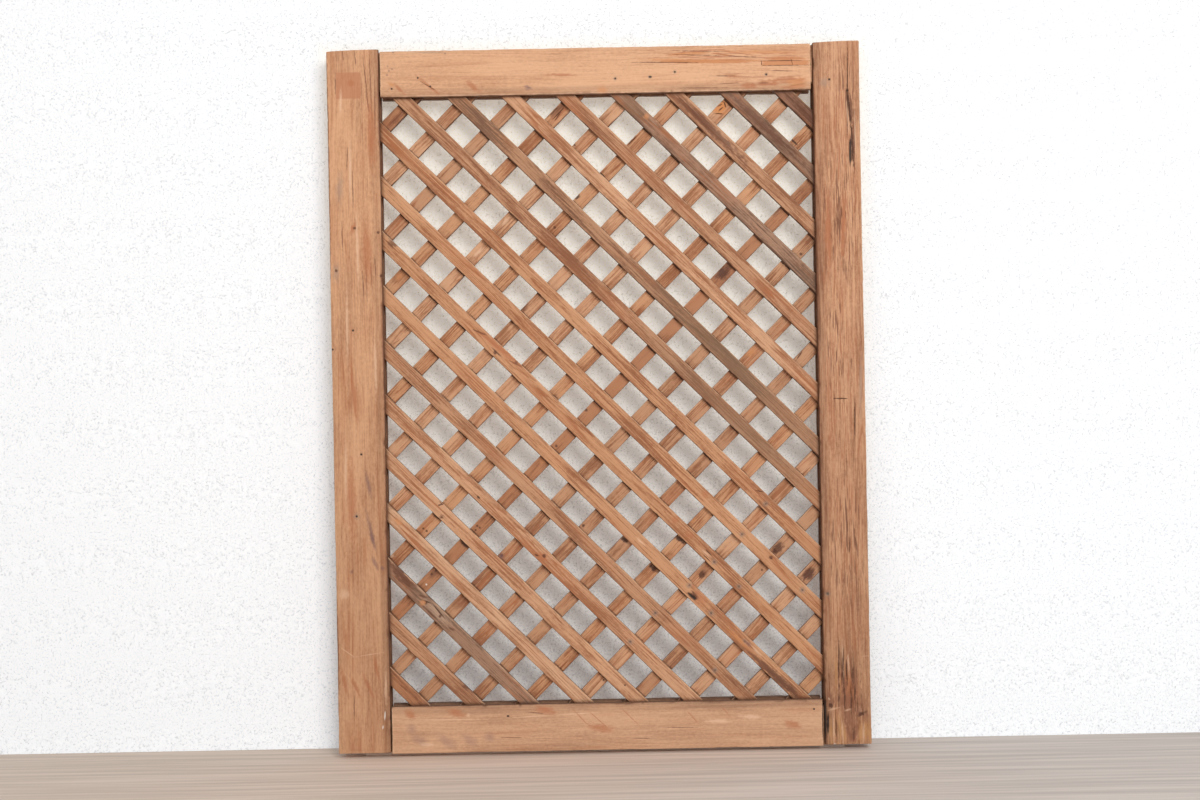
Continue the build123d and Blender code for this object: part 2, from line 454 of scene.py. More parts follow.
def lath_section(line, half_width, layer, rng):
    """Rings of section points, as distances across the lath and depths.

    Drifts scrape both sides, round the four arrises and lower both faces. Then the fibre, a
    relief of up to 0.15 mm, is taken off all round.
    """
    scrape = [0.3 * mm * drift(line, 90 * mm, rng) + 0.12 * mm * drift(line, 14 * mm, rng) for _ in range(2)]
    half = [half_width - s for s in scrape]
    rub = [(0.35 + 0.75 * drift(line, 35 * mm, rng) + 1.3 * drift(line, 9 * mm, rng) ** 8) * mm
           for _ in range(4)]
    front_line = layer[0] + 0.14 * mm * drift(line, 50 * mm, rng)
    back_line = layer[1] - 0.06 * mm * drift(line, 50 * mm, rng)
    front_across, front_deep = lath_row(half, rub[0], rub[1], front_line, -1)
    back_across, back_deep = lath_row(half, 0.6 * rub[2], 0.6 * rub[3], back_line, 1)
    low_side, high_side = -half[0][:, None], half[1][:, None]
    side_deep = ((front_line + back_line) / 2)[:, None]
    across = np.concatenate([front_across, high_side, back_across[:, ::-1], low_side], axis=1)
    deep = np.concatenate([front_deep, side_deep, back_deep[:, ::-1], side_deep], axis=1)
    points = across.shape[1]
    around = np.broadcast_to(np.arange(points) / points, across.shape)
    grid = np.broadcast_to(line[:, None], across.shape)
    coarse = relief(grid, around, 30 * mm, 14, rng) * 0.1 * mm
    fine = relief(grid, around, 9 * mm, points, rng) * 0.05 * mm
    fibre = coarse + fine
    mid_deep = (layer[0] + layer[1]) / 2
    return across * (1 - fibre / half_width), deep - np.sign(deep - mid_deep) * fibre


def lath_end_faces():
    """Faces that close a lath's end: quads from the front row to the back row, and two triangles."""
    row = 2 * (arc_steps + 1) + flat_steps
    front = list(range(row))
    back = list(range(2 * row, row, -1))
    faces = [[front[n], front[n + 1], back[n + 1], back[n]] for n in range(row - 1)]
    return faces + [[front[0], back[0], 2 * row + 1], [front[-1], row, back[-1]]]


# %% Wear with painted highlight, and grime with painted shade, of a lath


def keep_lath_shares(piece, place, ring_across, ring_deep, half_width, layer):
    """Wear lies along both front arrises, and a painted highlight makes the upper arris paler than the lower.
    Grime with painted shade lies in the groove and on the side walls.
    """
    edge = half_width - np.abs(ring_across)
    near_arris = 1 - np.hypot(edge, ring_deep - layer[0]) / (1.5 * mm)
    # Painted highlight: the upper arris gets 0.8 of the wear share and the lower only 0.3.
    keep_share(piece, "wear", near_arris * np.where(ring_across < 0, 0.3, 0.8))
    inset = np.minimum(np.minimum(place[..., 0] - opening_left, opening_right - place[..., 0]),
                       np.minimum(place[..., 1] - opening_bottom, opening_top - place[..., 1]))
    # Painted shade: lath ends near the groove and the side walls are darkened through the grime share.
    tucked = 0.8 - inset / (5 * mm)
    from_faces = np.minimum(ring_deep - layer[0], layer[1] - ring_deep)
    side_wall = np.clip(from_faces / (2 * mm), 0, 0.9)
    keep_share(piece, "grime_and_shade", np.maximum(tucked, side_wall))


# %% Carry a section along a lath


def clip_span(middle, along, across_shift, across):
    """Where a line along the lath enters and leaves the seat of the groove."""
    low = np.array([opening_left - lath_seat, opening_bottom - lath_seat])
    high = np.array([opening_right + lath_seat, opening_top + lath_seat])
    start = middle + across_shift[..., None] * across
    t_low = (low - start) / along
    t_high = (high - start) / along
    return np.minimum(t_low, t_high).max(-1), np.maximum(t_low, t_high).min(-1)


def make_lath(name, node, offset, falls, width, layer, seed):
    """A worn lath on its middle line, offset from the opening's centre square to its length.

    A surface point is middle + place x along + distance x across, where place runs between the
    ends that the groove gives to each line of the section.
    """
    rng = np.random.default_rng(seed)
    along = np.array([diagonal, -diagonal if falls else diagonal])
    across = np.array([diagonal if falls else -diagonal, diagonal])
    middle = np.array([opening_x, opening_z]) + offset * across
    half_width = width / 2
    ends = clip_span(middle, along, np.array([-half_width, 0, half_width]), across)
    length = (ends[1] - ends[0]).max()
    line = np.linspace(0, length, max(int(length / station_step), fewest_stations))
    ring_across, ring_deep = lath_section(line, half_width, layer, rng)
    start, stop = clip_span(middle, along, ring_across, across)
    place = start + (stop - start) * (line / length)[:, None]
    flat = middle + place[..., None] * along + ring_across[..., None] * across
    rings = np.stack([flat[..., 0], ring_deep, flat[..., 1]], axis=-1)
    piece = make_piece(name, rings, lath_end_faces(), [node])
    keep_lath_shares(piece, flat, ring_across, ring_deep, half_width, layer)
    finish_shading(piece)
    return piece


# %% Make both layers
front_seed, back_seed = 100, 200
offsets = np.arange(lath_count) * lath_pitch - (reach - corner_lath_setback)
front_laths = []
back_laths = []
for number, offset in enumerate(offsets, 1):
    front_laths.append(make_lath(
        f"worn_front_lath_{number:02d}", f"front_lath_{number:02d}", offset, True,
        front_lath_width, front_layer, front_seed + number))
    back_laths.append(make_lath(
        f"worn_back_lath_{number:02d}", f"back_lath_{number:02d}", offset + back_lath_shift, False,
        back_lath_width, back_layer, back_seed + number))
lath_faces = sum(len(piece.data.polygons) for piece in front_laths + back_laths)
print("laths:", len(front_laths) + len(back_laths), "faces:", lath_faces)

# %% [markdown]
# ## The frame's boards
# Each member is a planed board with a groove ploughed along its inner edge. Its section is a
# chain of straight runs and small arcs, carried along the board. Planing marks, raised grain,
# chipped arrises and dents are heights taken off along the section's outward normals.

# %% Section of a board
arris = 1.0 * mm
lip_arris = 0.4 * mm
face_step = 1.3 * mm
edge_step = 2.2 * mm
chip_spread = 2.2 * mm


def section_of(corners, radii, steps, side, worn):
    """Section points with outward normals, from corner points joined by straight runs.

    A corner is an arc: centre plus radius times the two normals by cos and sin of an angle.
    spread is the way a point moves when both faces beside it wear evenly: its own normal plus,
    nearer a corner, more of the next face's normal. worn lists the corners whose wood chips: each
    gives the points a weight that falls off as a bell curve of the distance, and a direction
    halfway between its two normals.
    """
    corners = np.array(corners)
    run = np.roll(corners, -1, axis=0) - corners
    run_length = np.linalg.norm(run, axis=1)
    run = run / run_length[:, None]
    normal = side * np.stack([run[:, 1], -run[:, 0]], axis=1)
    before = np.roll(normal, 1, axis=0)
    after = np.roll(normal, -1, axis=0)
    points, normals, spread = [], [], []
    for n, (corner, radius) in enumerate(zip(corners, radii)):
        turn = np.linspace(0, math.pi / 2, 4) if radius else np.array([math.pi / 4])
        arc = before[n] * np.cos(turn)[:, None] + normal[n] * np.sin(turn)[:, None]
        points.append(corner - radius * (before[n] + normal[n]) + radius * arc)
        normals.append(arc)
        spread.append(np.repeat((before[n] + normal[n])[None], len(arc), axis=0))
        clear = run_length[n] - radius - radii[(n + 1) % len(radii)]
        share = np.linspace(0, 1, max(int(clear / steps[n]), 1) + 1)[1:-1]
        points.append(corner + run[n] * (radius + clear * share)[:, None])
        normals.append(np.repeat(normal[n][None], len(share), axis=0))
        spread.append(normal[n] + before[n] * (1 - share)[:, None] + after[n] * share[:, None])
    points, normals, spread = np.concatenate(points), np.concatenate(normals), np.concatenate(spread)
    weights = [np.exp(-((points - corners[n]) ** 2).sum(1) / chip_spread**2) for n in worn]
    pulls = [(before[n] + normal[n]) * diagonal for n in worn]
    return points, normals, spread, weights, pulls


def grooved_section(inner, outer):
    """Section of a frame board: a rectangle with the lattice groove in its inner edge."""
    away = math.copysign(1, outer - inner)
    groove_end = inner + away * groove_depth
    corners = [(outer, front_y), (inner, front_y), (inner, groove_front), (groove_end, groove_front),
               (groove_end, groove_back), (inner, groove_back), (inner, back_y), (outer, back_y)]
    radii = [arris, arris, lip_arris, 0, 0, lip_arris, arris, arris]
    steps = [face_step, edge_step, edge_step, edge_step, edge_step, edge_step, face_step, edge_step]
    return section_of(corners, radii, steps, -away, (0, 1, 6, 7))


def plain_section(low, high, near, far, radius=0.3 * mm):
    """Section of a tenon or a haunch: a rectangle between two heights and two depths."""
    corners = [(low, near), (high, near), (high, far), (low, far)]
    return section_of(corners, [radius] * 4, [edge_step] * 4, 1, (0, 1, 2, 3))


# %% Carry a section along a board
end_round = 1.1 * mm
end_rows = np.array([0.0, 0.12, 0.3, 0.6, 1.1, 2.0]) * mm


def board_rows(length, step):
    """Distances of the rings along a board: close together at both ends."""
    inner = np.linspace(end_rows[-1], length - end_rows[-1], max(int(length / step), 2) + 1)[1:-1]
    return np.concatenate([end_rows, inner, length - end_rows[::-1]])


def worn_board(section, length, rng, scrape=0.2, grain=0.16, chips=1.0, dents=(), rough=None,
               ends=end_round):
    """Rings of a board as (distance along, section points), with the wood that wear has taken off.

    scrape is the depth of the plane's long waves and grain that of the raised grain, in mm. chips
    scales the broken arrises. dents are (along, across, radius, depth) on the front face. rough
    is a function that gives extra depth for the front face.
    """
    points, normals, spread, weights, pulls = section
    line = board_rows(length, 2.6 * mm)
    shape = (len(line), len(points))
    t = np.broadcast_to(line[:, None], shape)
    around = np.broadcast_to(np.arange(len(points)) / len(points), shape)
    taken = scrape * mm * relief(t, around, 150 * mm, max(len(points) // 9, 3), rng)
    taken = taken + grain * mm * relief(t, around, 38 * mm, max(len(points) // 2, 3), rng) ** 2
    front = np.clip(-normals[:, 1], 0, 1) ** 4
    across = np.broadcast_to(points[:, 0], shape)
    sunk = np.zeros(shape)
    for along_at, across_at, radius, depth in dents:
        sunk = sunk + depth * np.exp(-((t - along_at) ** 2 + (across - across_at) ** 2) / radius**2)
    if rough:
        sunk = sunk + rough(t, across, around, rng)
    edge = np.minimum(np.minimum(t, length - t), ends)
    taken = taken + ends - np.sqrt(ends**2 - (ends - edge) ** 2)
    grid = points - spread * taken[..., None] - normals * (sunk * front)[..., None]
    for weight, pull in zip(weights, pulls):
        broken = 0.45 * drift(line, 55 * mm, rng)
        broken = broken + 0.5 * drift(line, 13 * mm, rng) ** 4
        broken = broken + 1.3 * drift(line, 7 * mm, rng) ** 14
        grid = grid - (chips * mm * broken[:, None] * weight)[..., None] * pull
    return t, grid


def put_mesh(piece, operation, other):
    """Joins another mesh to a piece, or cuts it out, and clears the other away."""
    modifier = piece.modifiers.new("joint", "BOOLEAN")
    modifier.operation = operation
    modifier.solver = "MANIFOLD"
    modifier.object = other
    mesh = bpy.data.meshes.new_from_object(piece.evaluated_get(bpy.context.evaluated_depsgraph_get()))
    piece.modifiers.clear()
    piece.data = mesh
    mesh.name = piece.name
    bpy.data.objects.remove(other)


def board_wear(piece, low, high, axis, inner):
    """Wear from 1 on an edge of the board's box to 0 at 2.5 mm from it, and grime with painted shade on the
    inner edge.

    axis says which way the inner edge faces, 0 for X and 2 for Z, and inner where it lies.
    """
    place = np.empty(len(piece.data.vertices) * 3, np.float32)
    piece.data.vertices.foreach_get("co", place)
    place = place.reshape(-1, 3)
    gaps = np.sort(np.minimum(place - low, high - place), axis=1)
    inwards = math.copysign(1, inner - (low[axis] + high[axis]) / 2)
    from_inner = (inner - place[:, axis]) * inwards
    spared = np.clip(from_inner / (4 * mm), 0.15, 1)
    keep_share(piece, "wear", spared * (1 - np.hypot(gaps[:, 0], gaps[:, 1]) / (2.5 * mm)))
    # Painted shade: the inner edge and the faces behind the front face are darkened through the grime share.
    past_face = (place[:, 1] - front_y) / (0.7 * mm)
    keep_share(piece, "grime_and_shade", np.minimum(1 - from_inner / (11 * mm), past_face))


# %% [markdown]
# ## Tenons and mortises
# The rails reach through the stiles with haunched tenons in line with the groove, and two
# wedges spread each tenon in its flared mortise. The joints show on the outer edges.

# %% Tenon and mortise shapes
haunch_height = 16 * mm
fit = 0.1 * mm
wedge_thickness = 5 * mm
wedge_flare = 40 * mm
tenon_recess = 0.3 * mm
haunch_gap = 0.5 * mm
root = 3 * mm
tenon_near = groove_front + fit
tenon_far = groove_back - fit


def tenon_edges(inner_z, outer_z):
    """The tenon's edge beside the groove and its edge beside the haunch."""
    outward = math.copysign(1, outer_z - inner_z)
    return inner_z + outward * groove_depth, outer_z - outward * haunch_height


def mortise_cutter(inner_x, outer_x, inner_z, outer_z):
    """A flared prism, in plan a rectangle and a wider trapezium, that cuts a through mortise."""
    away = math.copysign(1, outer_x - inner_x)
    flare_x = outer_x - away * wedge_flare
    past = 1 * mm
    opened = fit + (wedge_thickness + fit) * (1 + past / wedge_flare)
    low, high = sorted(tenon_edges(inner_z, outer_z))
    start_x = inner_x - away * past
    mouth_x = outer_x + away * past
    plan = [(start_x, low - fit), (flare_x, low - fit), (mouth_x, low - opened),
            (mouth_x, high + opened), (flare_x, high + fit), (start_x, high + fit)]
    count = len(plan)
    vertices = [(x, y, z) for y in (groove_front + 0.02 * mm, groove_back - 0.02 * mm) for x, z in plan]
    faces = [(n, (n + 1) % count, (n + 1) % count + count, n + count) for n in range(count)]
    faces += [tuple(range(count)), tuple(range(count, 2 * count))]
    mesh = bpy.data.meshes.new("cutter")
    mesh.from_pydata(vertices, [], faces)
    turn_outwards(mesh)
    cutter = bpy.data.objects.new("cutter", mesh)
    bpy.context.scene.collection.objects.link(cutter)
    return cutter


def stub(shoulder_x, end_x, low_z, high_z, thinner, rng):
    """A tenon or haunch that starts inside the rail and ends at end_x, with sawn, slightly worn faces."""
    away = math.copysign(1, end_x - shoulder_x)
    start = shoulder_x - away * root
    section = plain_section(low_z, high_z, tenon_near + thinner, tenon_far - thinner)
    t, grid = worn_board(section, abs(end_x - start), rng, 0.05, 0.06, 0.2, ends=0.3 * mm)
    rings = np.stack([start + away * t, grid[..., 1], grid[..., 0]], axis=-1)
    return make_piece("stub", rings, [list(range(grid.shape[1]))], None)


# %% [markdown]
# ## Stiles
# A stile is the grooved section carried upwards. Its head slopes a little to one side, and two
# mortises are cut through it. Dents lie where the photograph shows nail holes and knocks.

# %% Shape of a stile
stile_slope = 1.7 * mm
stile_crown = 0.5 * mm


def make_stile(name, node, inner_x, outer_x, seed, dents=(), rough=None, chips=1.0, grain=0.16):
    """A stile: the grooved section carried upwards, its top end sloping up to the right."""
    rng = np.random.default_rng(seed)
    low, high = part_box(node)
    length = high.z - low.z
    t, grid = worn_board(grooved_section(inner_x, outer_x), length, rng, 0.25, grain, chips, dents, rough)
    across_share = (grid[..., 0] - low.x) / (high.x - low.x)
    crown = stile_crown * (2 * across_share - 1) ** 2
    top = high.z - stile_slope * (1 - across_share) - crown
    z = low.z + t / length * (top - low.z)
    rings = np.stack([grid[..., 0], grid[..., 1], z], axis=-1)
    piece = make_piece(name, rings, [list(range(grid.shape[1]))], [node])
    put_mesh(piece, "DIFFERENCE", mortise_cutter(inner_x, outer_x, opening_bottom, bottom_low.z))
    put_mesh(piece, "DIFFERENCE", mortise_cutter(inner_x, outer_x, opening_top, top_high.z))
    board_wear(piece, np.array(low), np.array(high), 0, inner_x)
    finish_shading(piece)
    return piece


def splintered_foot(t, across, around, rng):
    """Extra depth near the right stile's foot, where the grain is torn round a large knot."""
    low_down = np.clip((130 * mm - t) / (70 * mm), 0, 1)
    ridges = relief(t, around, 22 * mm, around.shape[1], rng) ** 2
    return eased(low_down) * ridges * 1.3 * mm


# %% Make the stiles
left_dents = mm * np.array([
    (509.3, -293.7, 1.8, 0.8), (360.4, -286.5, 1.8, 0.7), (486.9, -318.5, 3.5, 1.2), (193, -310, 6, 0.4)])
right_dents = mm * np.array([
    (786.3, 304.9, 2.0, 0.9), (182.9, 270, 1.8, 0.8), (30, 267.6, 2.4, 1.6), (20, 267.6, 2.4, 1.6),
    (48, 302, 6, 1.2), (18, 293, 5, 1.0)])
left_stile = make_stile("worn_left_stile", "left_stile", opening_left, left_low.x, 11, left_dents)
right_stile = make_stile("worn_right_stile", "right_stile", opening_right, right_high.x, 12, right_dents,
                         splintered_foot, chips=1.4, grain=0.3)
print("stile faces", len(left_stile.data.polygons), len(right_stile.data.polygons))

# %% [markdown]
# ## Rails
# A rail is the same section carried sideways between the stiles. Its shoulders are a little
# uneven, as a handsaw leaves them, and stay short of the stiles, which shows as a dark joint.

# %% Shape of a rail
left_shoulder = opening_left + 1.2 * mm
right_shoulder = opening_right - 1.8 * mm
rail_ends = [(left_shoulder, opening_left, left_low.x), (right_shoulder, opening_right, right_high.x)]


def make_rail(name, node, inner_z, outer_z, seed, dents, ragged):
    """A rail: the grooved section carried to the right between its shoulders, with its tenons joined on."""
    rng = np.random.default_rng(seed)
    length = right_shoulder - left_shoulder
    section = grooved_section(inner_z, outer_z)
    t, grid = worn_board(section, length, rng, 0.2, 0.14, 1.0, dents, ends=0.25 * mm)
    across = grid[..., 0]
    uneven = [share * mm * relief(across, np.zeros_like(across), 5 * mm, 1, rng) for share in ragged]
    x = left_shoulder + uneven[0] + t / length * (length - uneven[0] - uneven[1])
    rings = np.stack([x, grid[..., 1], across], axis=-1)
    piece = make_piece(name, rings, [list(range(grid.shape[1]))], [node])
    inner_edge, haunch_edge = tenon_edges(inner_z, outer_z)
    low, high = sorted((inner_edge, haunch_edge))
    outward = math.copysign(1, outer_z - inner_z)
    haunch_low, haunch_high = sorted((haunch_edge - outward * 1 * mm, outer_z - outward * 0.8 * mm))
    for shoulder, inner_x, outer_x in rail_ends:
        away = math.copysign(1, outer_x - inner_x)
        tenon = stub(shoulder, outer_x - away * tenon_recess, low + 0.3 * mm, high - 0.3 * mm, 0, rng)
        put_mesh(piece, "UNION", tenon)
        haunch_end = inner_x + away * (groove_depth - haunch_gap)
        haunch = stub(shoulder, haunch_end, haunch_low, haunch_high, 0.4 * mm, rng)
        put_mesh(piece, "UNION", haunch)
    corner_low, corner_high = sorted((inner_z, outer_z))
    board_wear(piece, np.array((left_shoulder, front_y, corner_low)),
               np.array((right_shoulder, back_y, corner_high)), 2, inner_z)
    finish_shading(piece)
    return piece


# %% Make the rails
top_dents = mm * np.array([(26.7, 805.9, 1.8, 0.8), (98.3, 812.4, 1.8, 0.8), (208, 807.4, 1.8, 0.8)])
top_dents = top_dents - (left_shoulder, 0, 0, 0)
top_rail = make_rail("worn_top_rail", "top_rail", opening_top, top_high.z, 13, top_dents, (0.3, 1.4))
bottom_rail = make_rail("worn_bottom_rail", "bottom_rail", opening_bottom, bottom_low.z, 14, (), (0.2, 0.3))
print("rail faces", len(top_rail.data.polygons), len(bottom_rail.data.polygons))

# %% [markdown]
# ## Wood
# Sawn wood shows three things at once: growth rings cut lengthwise, which make long curved
# lines, fine fibres, and slow changes of tone. All three are noise stretched along the grain.
# The rings are contour lines of a stretched noise: its value is multiplied, and only the part
# after the point is kept, which darkens slowly and ends sharply, as late wood does.

# %% Wood figure group
figure_noises = {
    "Fibre": ("bent", (30.0, 780.0, 780.0), 3.0, 0.65),
    "Streak": ("bent", (11.0, 330.0, 330.0), 3.0, 0.6),
    "Patch": ("bent", (11.0, 52.0, 52.0), 3.0, 0.55),
    "Fleck": ("straight", (210.0, 430.0, 430.0), 2.0, 0.7),
    "Ragged": ("straight", (160.0, 420.0, 420.0), 3.0, 0.6),
    "Scratch": ("straight", (36.0, 620.0, 620.0), 1.0, 0.5),
}
sway_stretch = (4.0, 24.0, 24.0)
contour_stretch = (1.8, 48.0, 48.0)
tone_across = 28.0


def build_wood_figure():
    """Rings, fibres, streaks and slow tones, in coordinates with X along the grain, in metres."""
    names = ["Rings", "Tone", *figure_noises]
    tree, inside, outside = new_group(
        "Wood figure",
        [("Vector", "vector", (0, 0, 0)), ("Ring count", "value", 13.0), ("Bend", "value", 0.005),
         ("Tone along", "value", 5.0)],
        [(name, "value") for name in names])
    given = inside.outputs
    sway = noise(tree, stretched(tree, given["Vector"], sway_stretch), 1.0).outputs["Color"]
    amount = put(tree, "CombineXYZ", {"Y": given["Bend"], "Z": given["Bend"]}).outputs[0]
    inputs = {0: sway, 1: amount, 2: given["Vector"]}
    bent = put(tree, "VectorMath", inputs, operation="MULTIPLY_ADD").outputs[0]
    contour = noise(tree, stretched(tree, bent, contour_stretch), 1.5, 0.4).outputs["Fac"]
    saw = calc(tree, "FRACT", calc(tree, "MULTIPLY", contour, given["Ring count"]))
    slow = put(tree, "CombineXYZ", {"X": given["Tone along"], "Y": tone_across, "Z": tone_across}).outputs[0]
    results = {
        "Rings": calc(tree, "MULTIPLY", ramp(tree, saw, 0.35, 0.9), ramp(tree, saw, 0.93, 1.0, 1.0, 0.0)),
        "Tone": noise(tree, stretched(tree, bent, slow), 2.0).outputs["Fac"],
    }
    for name, (grain, stretch, detail, roughness) in figure_noises.items():
        lines = bent if grain == "bent" else given["Vector"]
        results[name] = noise(tree, stretched(tree, lines, stretch), detail, roughness).outputs["Fac"]
    for name, value in results.items():
        tree.links.new(value, outside.inputs[name])
    return tree


wood_figure = build_wood_figure()
print("group", wood_figure.name, len(wood_figure.nodes), "nodes")

# %% [markdown]
# ## Old wood
# The wood here was stripped and rubbed with oil: pale early wood, brown late wood, foxy red
# patches where old stain stayed, and grey where weather and dirt went in. The arrises are
# rubbed paler, and on the laths the upper arris is painted paler still as a highlight. Grime
# darkens grooves, side walls and inner edges, where it is painted shade as well as dirt. One
# level from 0 to 1 runs from late wood to early wood, and the other colours are laid over it.

# %% Level and colour of old wood
# Colours of rubbed arrises, which also hold a painted highlight, and of dirt, which also holds painted shade.
pale_rub_and_highlight = (0.85, 0.62, 0.42, 1)
dirt_and_shade_black = (0.045, 0.014, 0.004, 1)


def swing(tree, value, strength):
    """How far a noise value lies from its middle, times a strength."""
    return calc(tree, "MULTIPLY", calc(tree, "SUBTRACT", value, 0.5), strength)


def wood_level(tree, given, figure):
    """The level, plus the swing of each noise, less the rings."""
    level = given["Level"]
    for name in ("Fibre", "Streak", "Tone", "Fleck"):
        level = calc(tree, "ADD", level, swing(tree, figure[name], given[name + " strength"]))
    return calc(tree, "SUBTRACT", level, calc(tree, "MULTIPLY", figure["Rings"], given["Ring strength"]))


def wood_colour(tree, given, figure, level):
    """Early and late wood by the level, then stain, weather, pores, rubbed arrises with painted highlight,
    and dirt with painted shade.
    """
    colour = blend_colours(tree, ramp(tree, level, 0.0, 1.0), given["Dark"], given["Pale"])
    stained = calc(tree, "MULTIPLY", ramp(tree, figure["Patch"], 0.46, 0.68), given["Red amount"])
    stained = calc(tree, "MULTIPLY", stained, calc(tree, "ADD", 0.35, figure["Rings"]))
    colour = blend_colours(tree, stained, colour, given["Red"])
    dull = calc(tree, "ADD", figure["Tone"], swing(tree, figure["Streak"], 0.9))
    dull = ramp(tree, dull, 0.5, 0.3, 0.0, 1.0)
    colour = blend_colours(tree, calc(tree, "MULTIPLY", dull, given["Grey amount"]), colour, given["Grey"])
    pore = ramp(tree, figure["Fibre"], 0.38, 0.27)
    colour = blend_colours(tree, calc(tree, "MULTIPLY", pore, given["Pores"]), colour, given["Dark"])
    # Rubbed arrises, which on the laths also hold a painted highlight on the upper arris.
    rubbed_and_highlit = calc(tree, "MULTIPLY", given["Wear and highlight"], ramp(tree, figure["Ragged"], 0.3, 0.6, 0.1, 0.75))
    colour = blend_colours(tree, rubbed_and_highlit, colour, blend_colours(tree, 0.35, given["Pale"], pale_rub_and_highlight))
    # Dirt together with painted shade in grooves, side walls and inner edges.
    soiled_and_shaded = calc(tree, "MULTIPLY", given["Grime and shade"], ramp(tree, figure["Ragged"], 0.25, 0.55, 0.75, 1.0))
    return blend_colours(tree, soiled_and_shaded, colour, blend_colours(tree, 0.7, given["Dark"], dirt_and_shade_black))


# %% Old wood group


def build_old_wood():
    """Colour, roughness and height of stripped old wood, mixed from the figure."""
    passed_on = ("Ragged", "Streak", "Scratch")
    tree, inside, outside = new_group(
        "Old wood",
        [("Vector", "vector", (0, 0, 0)), ("Wear and highlight", "value", 0.0), ("Grime and shade", "value", 0.0),
         ("Pale", "colour", (0.62, 0.33, 0.19, 1)), ("Dark", "colour", (0.30, 0.13, 0.06, 1)),
         ("Red", "colour", (0.42, 0.15, 0.06, 1)), ("Grey", "colour", (0.24, 0.15, 0.10, 1)),
         ("Level", "value", 0.62), ("Ring strength", "value", 0.14), ("Fibre strength", "value", 1.3),
         ("Streak strength", "value", 0.8), ("Tone strength", "value", 0.9), ("Fleck strength", "value", 0.8),
         ("Red amount", "value", 0.4), ("Grey amount", "value", 0.2), ("Pores", "value", 0.4),
         ("Ring count", "value", 13.0), ("Bend", "value", 0.005), ("Tone along", "value", 5.0)],
        [("Colour", "colour"), ("Roughness", "value"), ("Height", "value")]
        + [(name, "value") for name in passed_on])
    given = inside.outputs
    shared = {name: given[name] for name in ("Vector", "Ring count", "Bend", "Tone along")}
    figure = place_group(tree, wood_figure, shared).outputs
    level = wood_level(tree, given, figure)
    height = calc(tree, "MULTIPLY", figure["Fibre"], 0.8)
    height = calc(tree, "ADD", height, calc(tree, "MULTIPLY", figure["Streak"], 0.5))
    height = calc(tree, "SUBTRACT", height, calc(tree, "MULTIPLY", figure["Rings"], 0.25))
    results = {
        "Colour": wood_colour(tree, given, figure, level),
        "Roughness": ramp(tree, level, 0.1, 1.0, 0.78, 0.6),
        "Height": height,
        **{name: figure[name] for name in passed_on},
    }
    for name, value in results.items():
        tree.links.new(value, outside.inputs[name])
    return tree


old_wood = build_old_wood()
print("group", old_wood.name, len(old_wood.nodes), "nodes")

# %% [markdown]
# ## Marks
# Knots, stains, nail marks and scratches lie at places measured on the screen. One group gives
# the mask of all of them: an ellipsoid round a centre, turned and sized, with a ragged rim.

# %% Mark group


def build_mark():
    """A mask that is 1 inside an ellipsoid and 0 outside: the length of the vector in the ellipsoid's
    own axes, measured in its half sizes, with noise added, falls through 1 at the rim. Square swaps
    that length for the largest part of the vector, which gives a rectangle."""
    tree, inside, outside = new_group(
        "Mark",
        [("Vector", "vector", (0, 0, 0)), ("Centre", "vector", (0, 0, 0)), ("Turn", "vector", (0, 0, 0)),
         ("Half size", "vector", (0.01, 0.01, 0.01)), ("Ragged", "value", 0.5), ("Rough rim", "value", 0.5),
         ("Soft rim", "value", 0.3), ("Strength", "value", 1.0), ("Square", "value", 0.0)],
        [("Mask", "value")])
    given = inside.outputs
    inputs = {"Vector": given["Vector"], "Location": given["Centre"], "Rotation": given["Turn"],
              "Scale": given["Half size"]}
    own = put(tree, "Mapping", inputs, vector_type="TEXTURE").outputs[0]
    far = put(tree, "VectorMath", {0: own}, operation="LENGTH").outputs["Value"]
    sizes = put(tree, "VectorMath", {0: own}, operation="ABSOLUTE").outputs[0]
    parts = put(tree, "SeparateXYZ", {0: sizes}).outputs
    largest = calc(tree, "MAXIMUM", calc(tree, "MAXIMUM", parts["X"], parts["Z"]), parts["Y"])
    far = put(tree, "Mix", {0: given["Square"], 2: far, 3: largest}).outputs[0]
    wobble = calc(tree, "MULTIPLY", calc(tree, "SUBTRACT", given["Ragged"], 0.5), given["Rough rim"])
    rim_in = calc(tree, "SUBTRACT", 1.0, given["Soft rim"])
    rim_out = calc(tree, "ADD", 1.0, calc(tree, "MULTIPLY", given["Soft rim"], 0.5))
    mask = ramp(tree, calc(tree, "ADD", far, wobble), rim_in, rim_out, 1.0, 0.0)
    tree.links.new(calc(tree, "MULTIPLY", mask, given["Strength"]), outside.inputs["Mask"])
    return tree


mark_group = build_mark()
print("group", mark_group.name, len(mark_group.nodes), "nodes")

# %% [markdown]
# ## Painted lines along the laths
# A painted shadow runs along the lower edge of every lath and a painted highlight along its upper
# edge, and painted shade lies in dark lines on the back laths where the front laths rest on them.
# Both follow from the even pitch, so one group draws the lines of a whole layer.

# %% Painted edge line group
middle_turn = 50.5
line_come_and_go = (38.0, 38.0, 38.0)
line_sides = [("Lower", "ADD", (0.0, 0.0, 0.0)), ("Upper", "SUBTRACT", (7.3, 0.0, 4.1))]


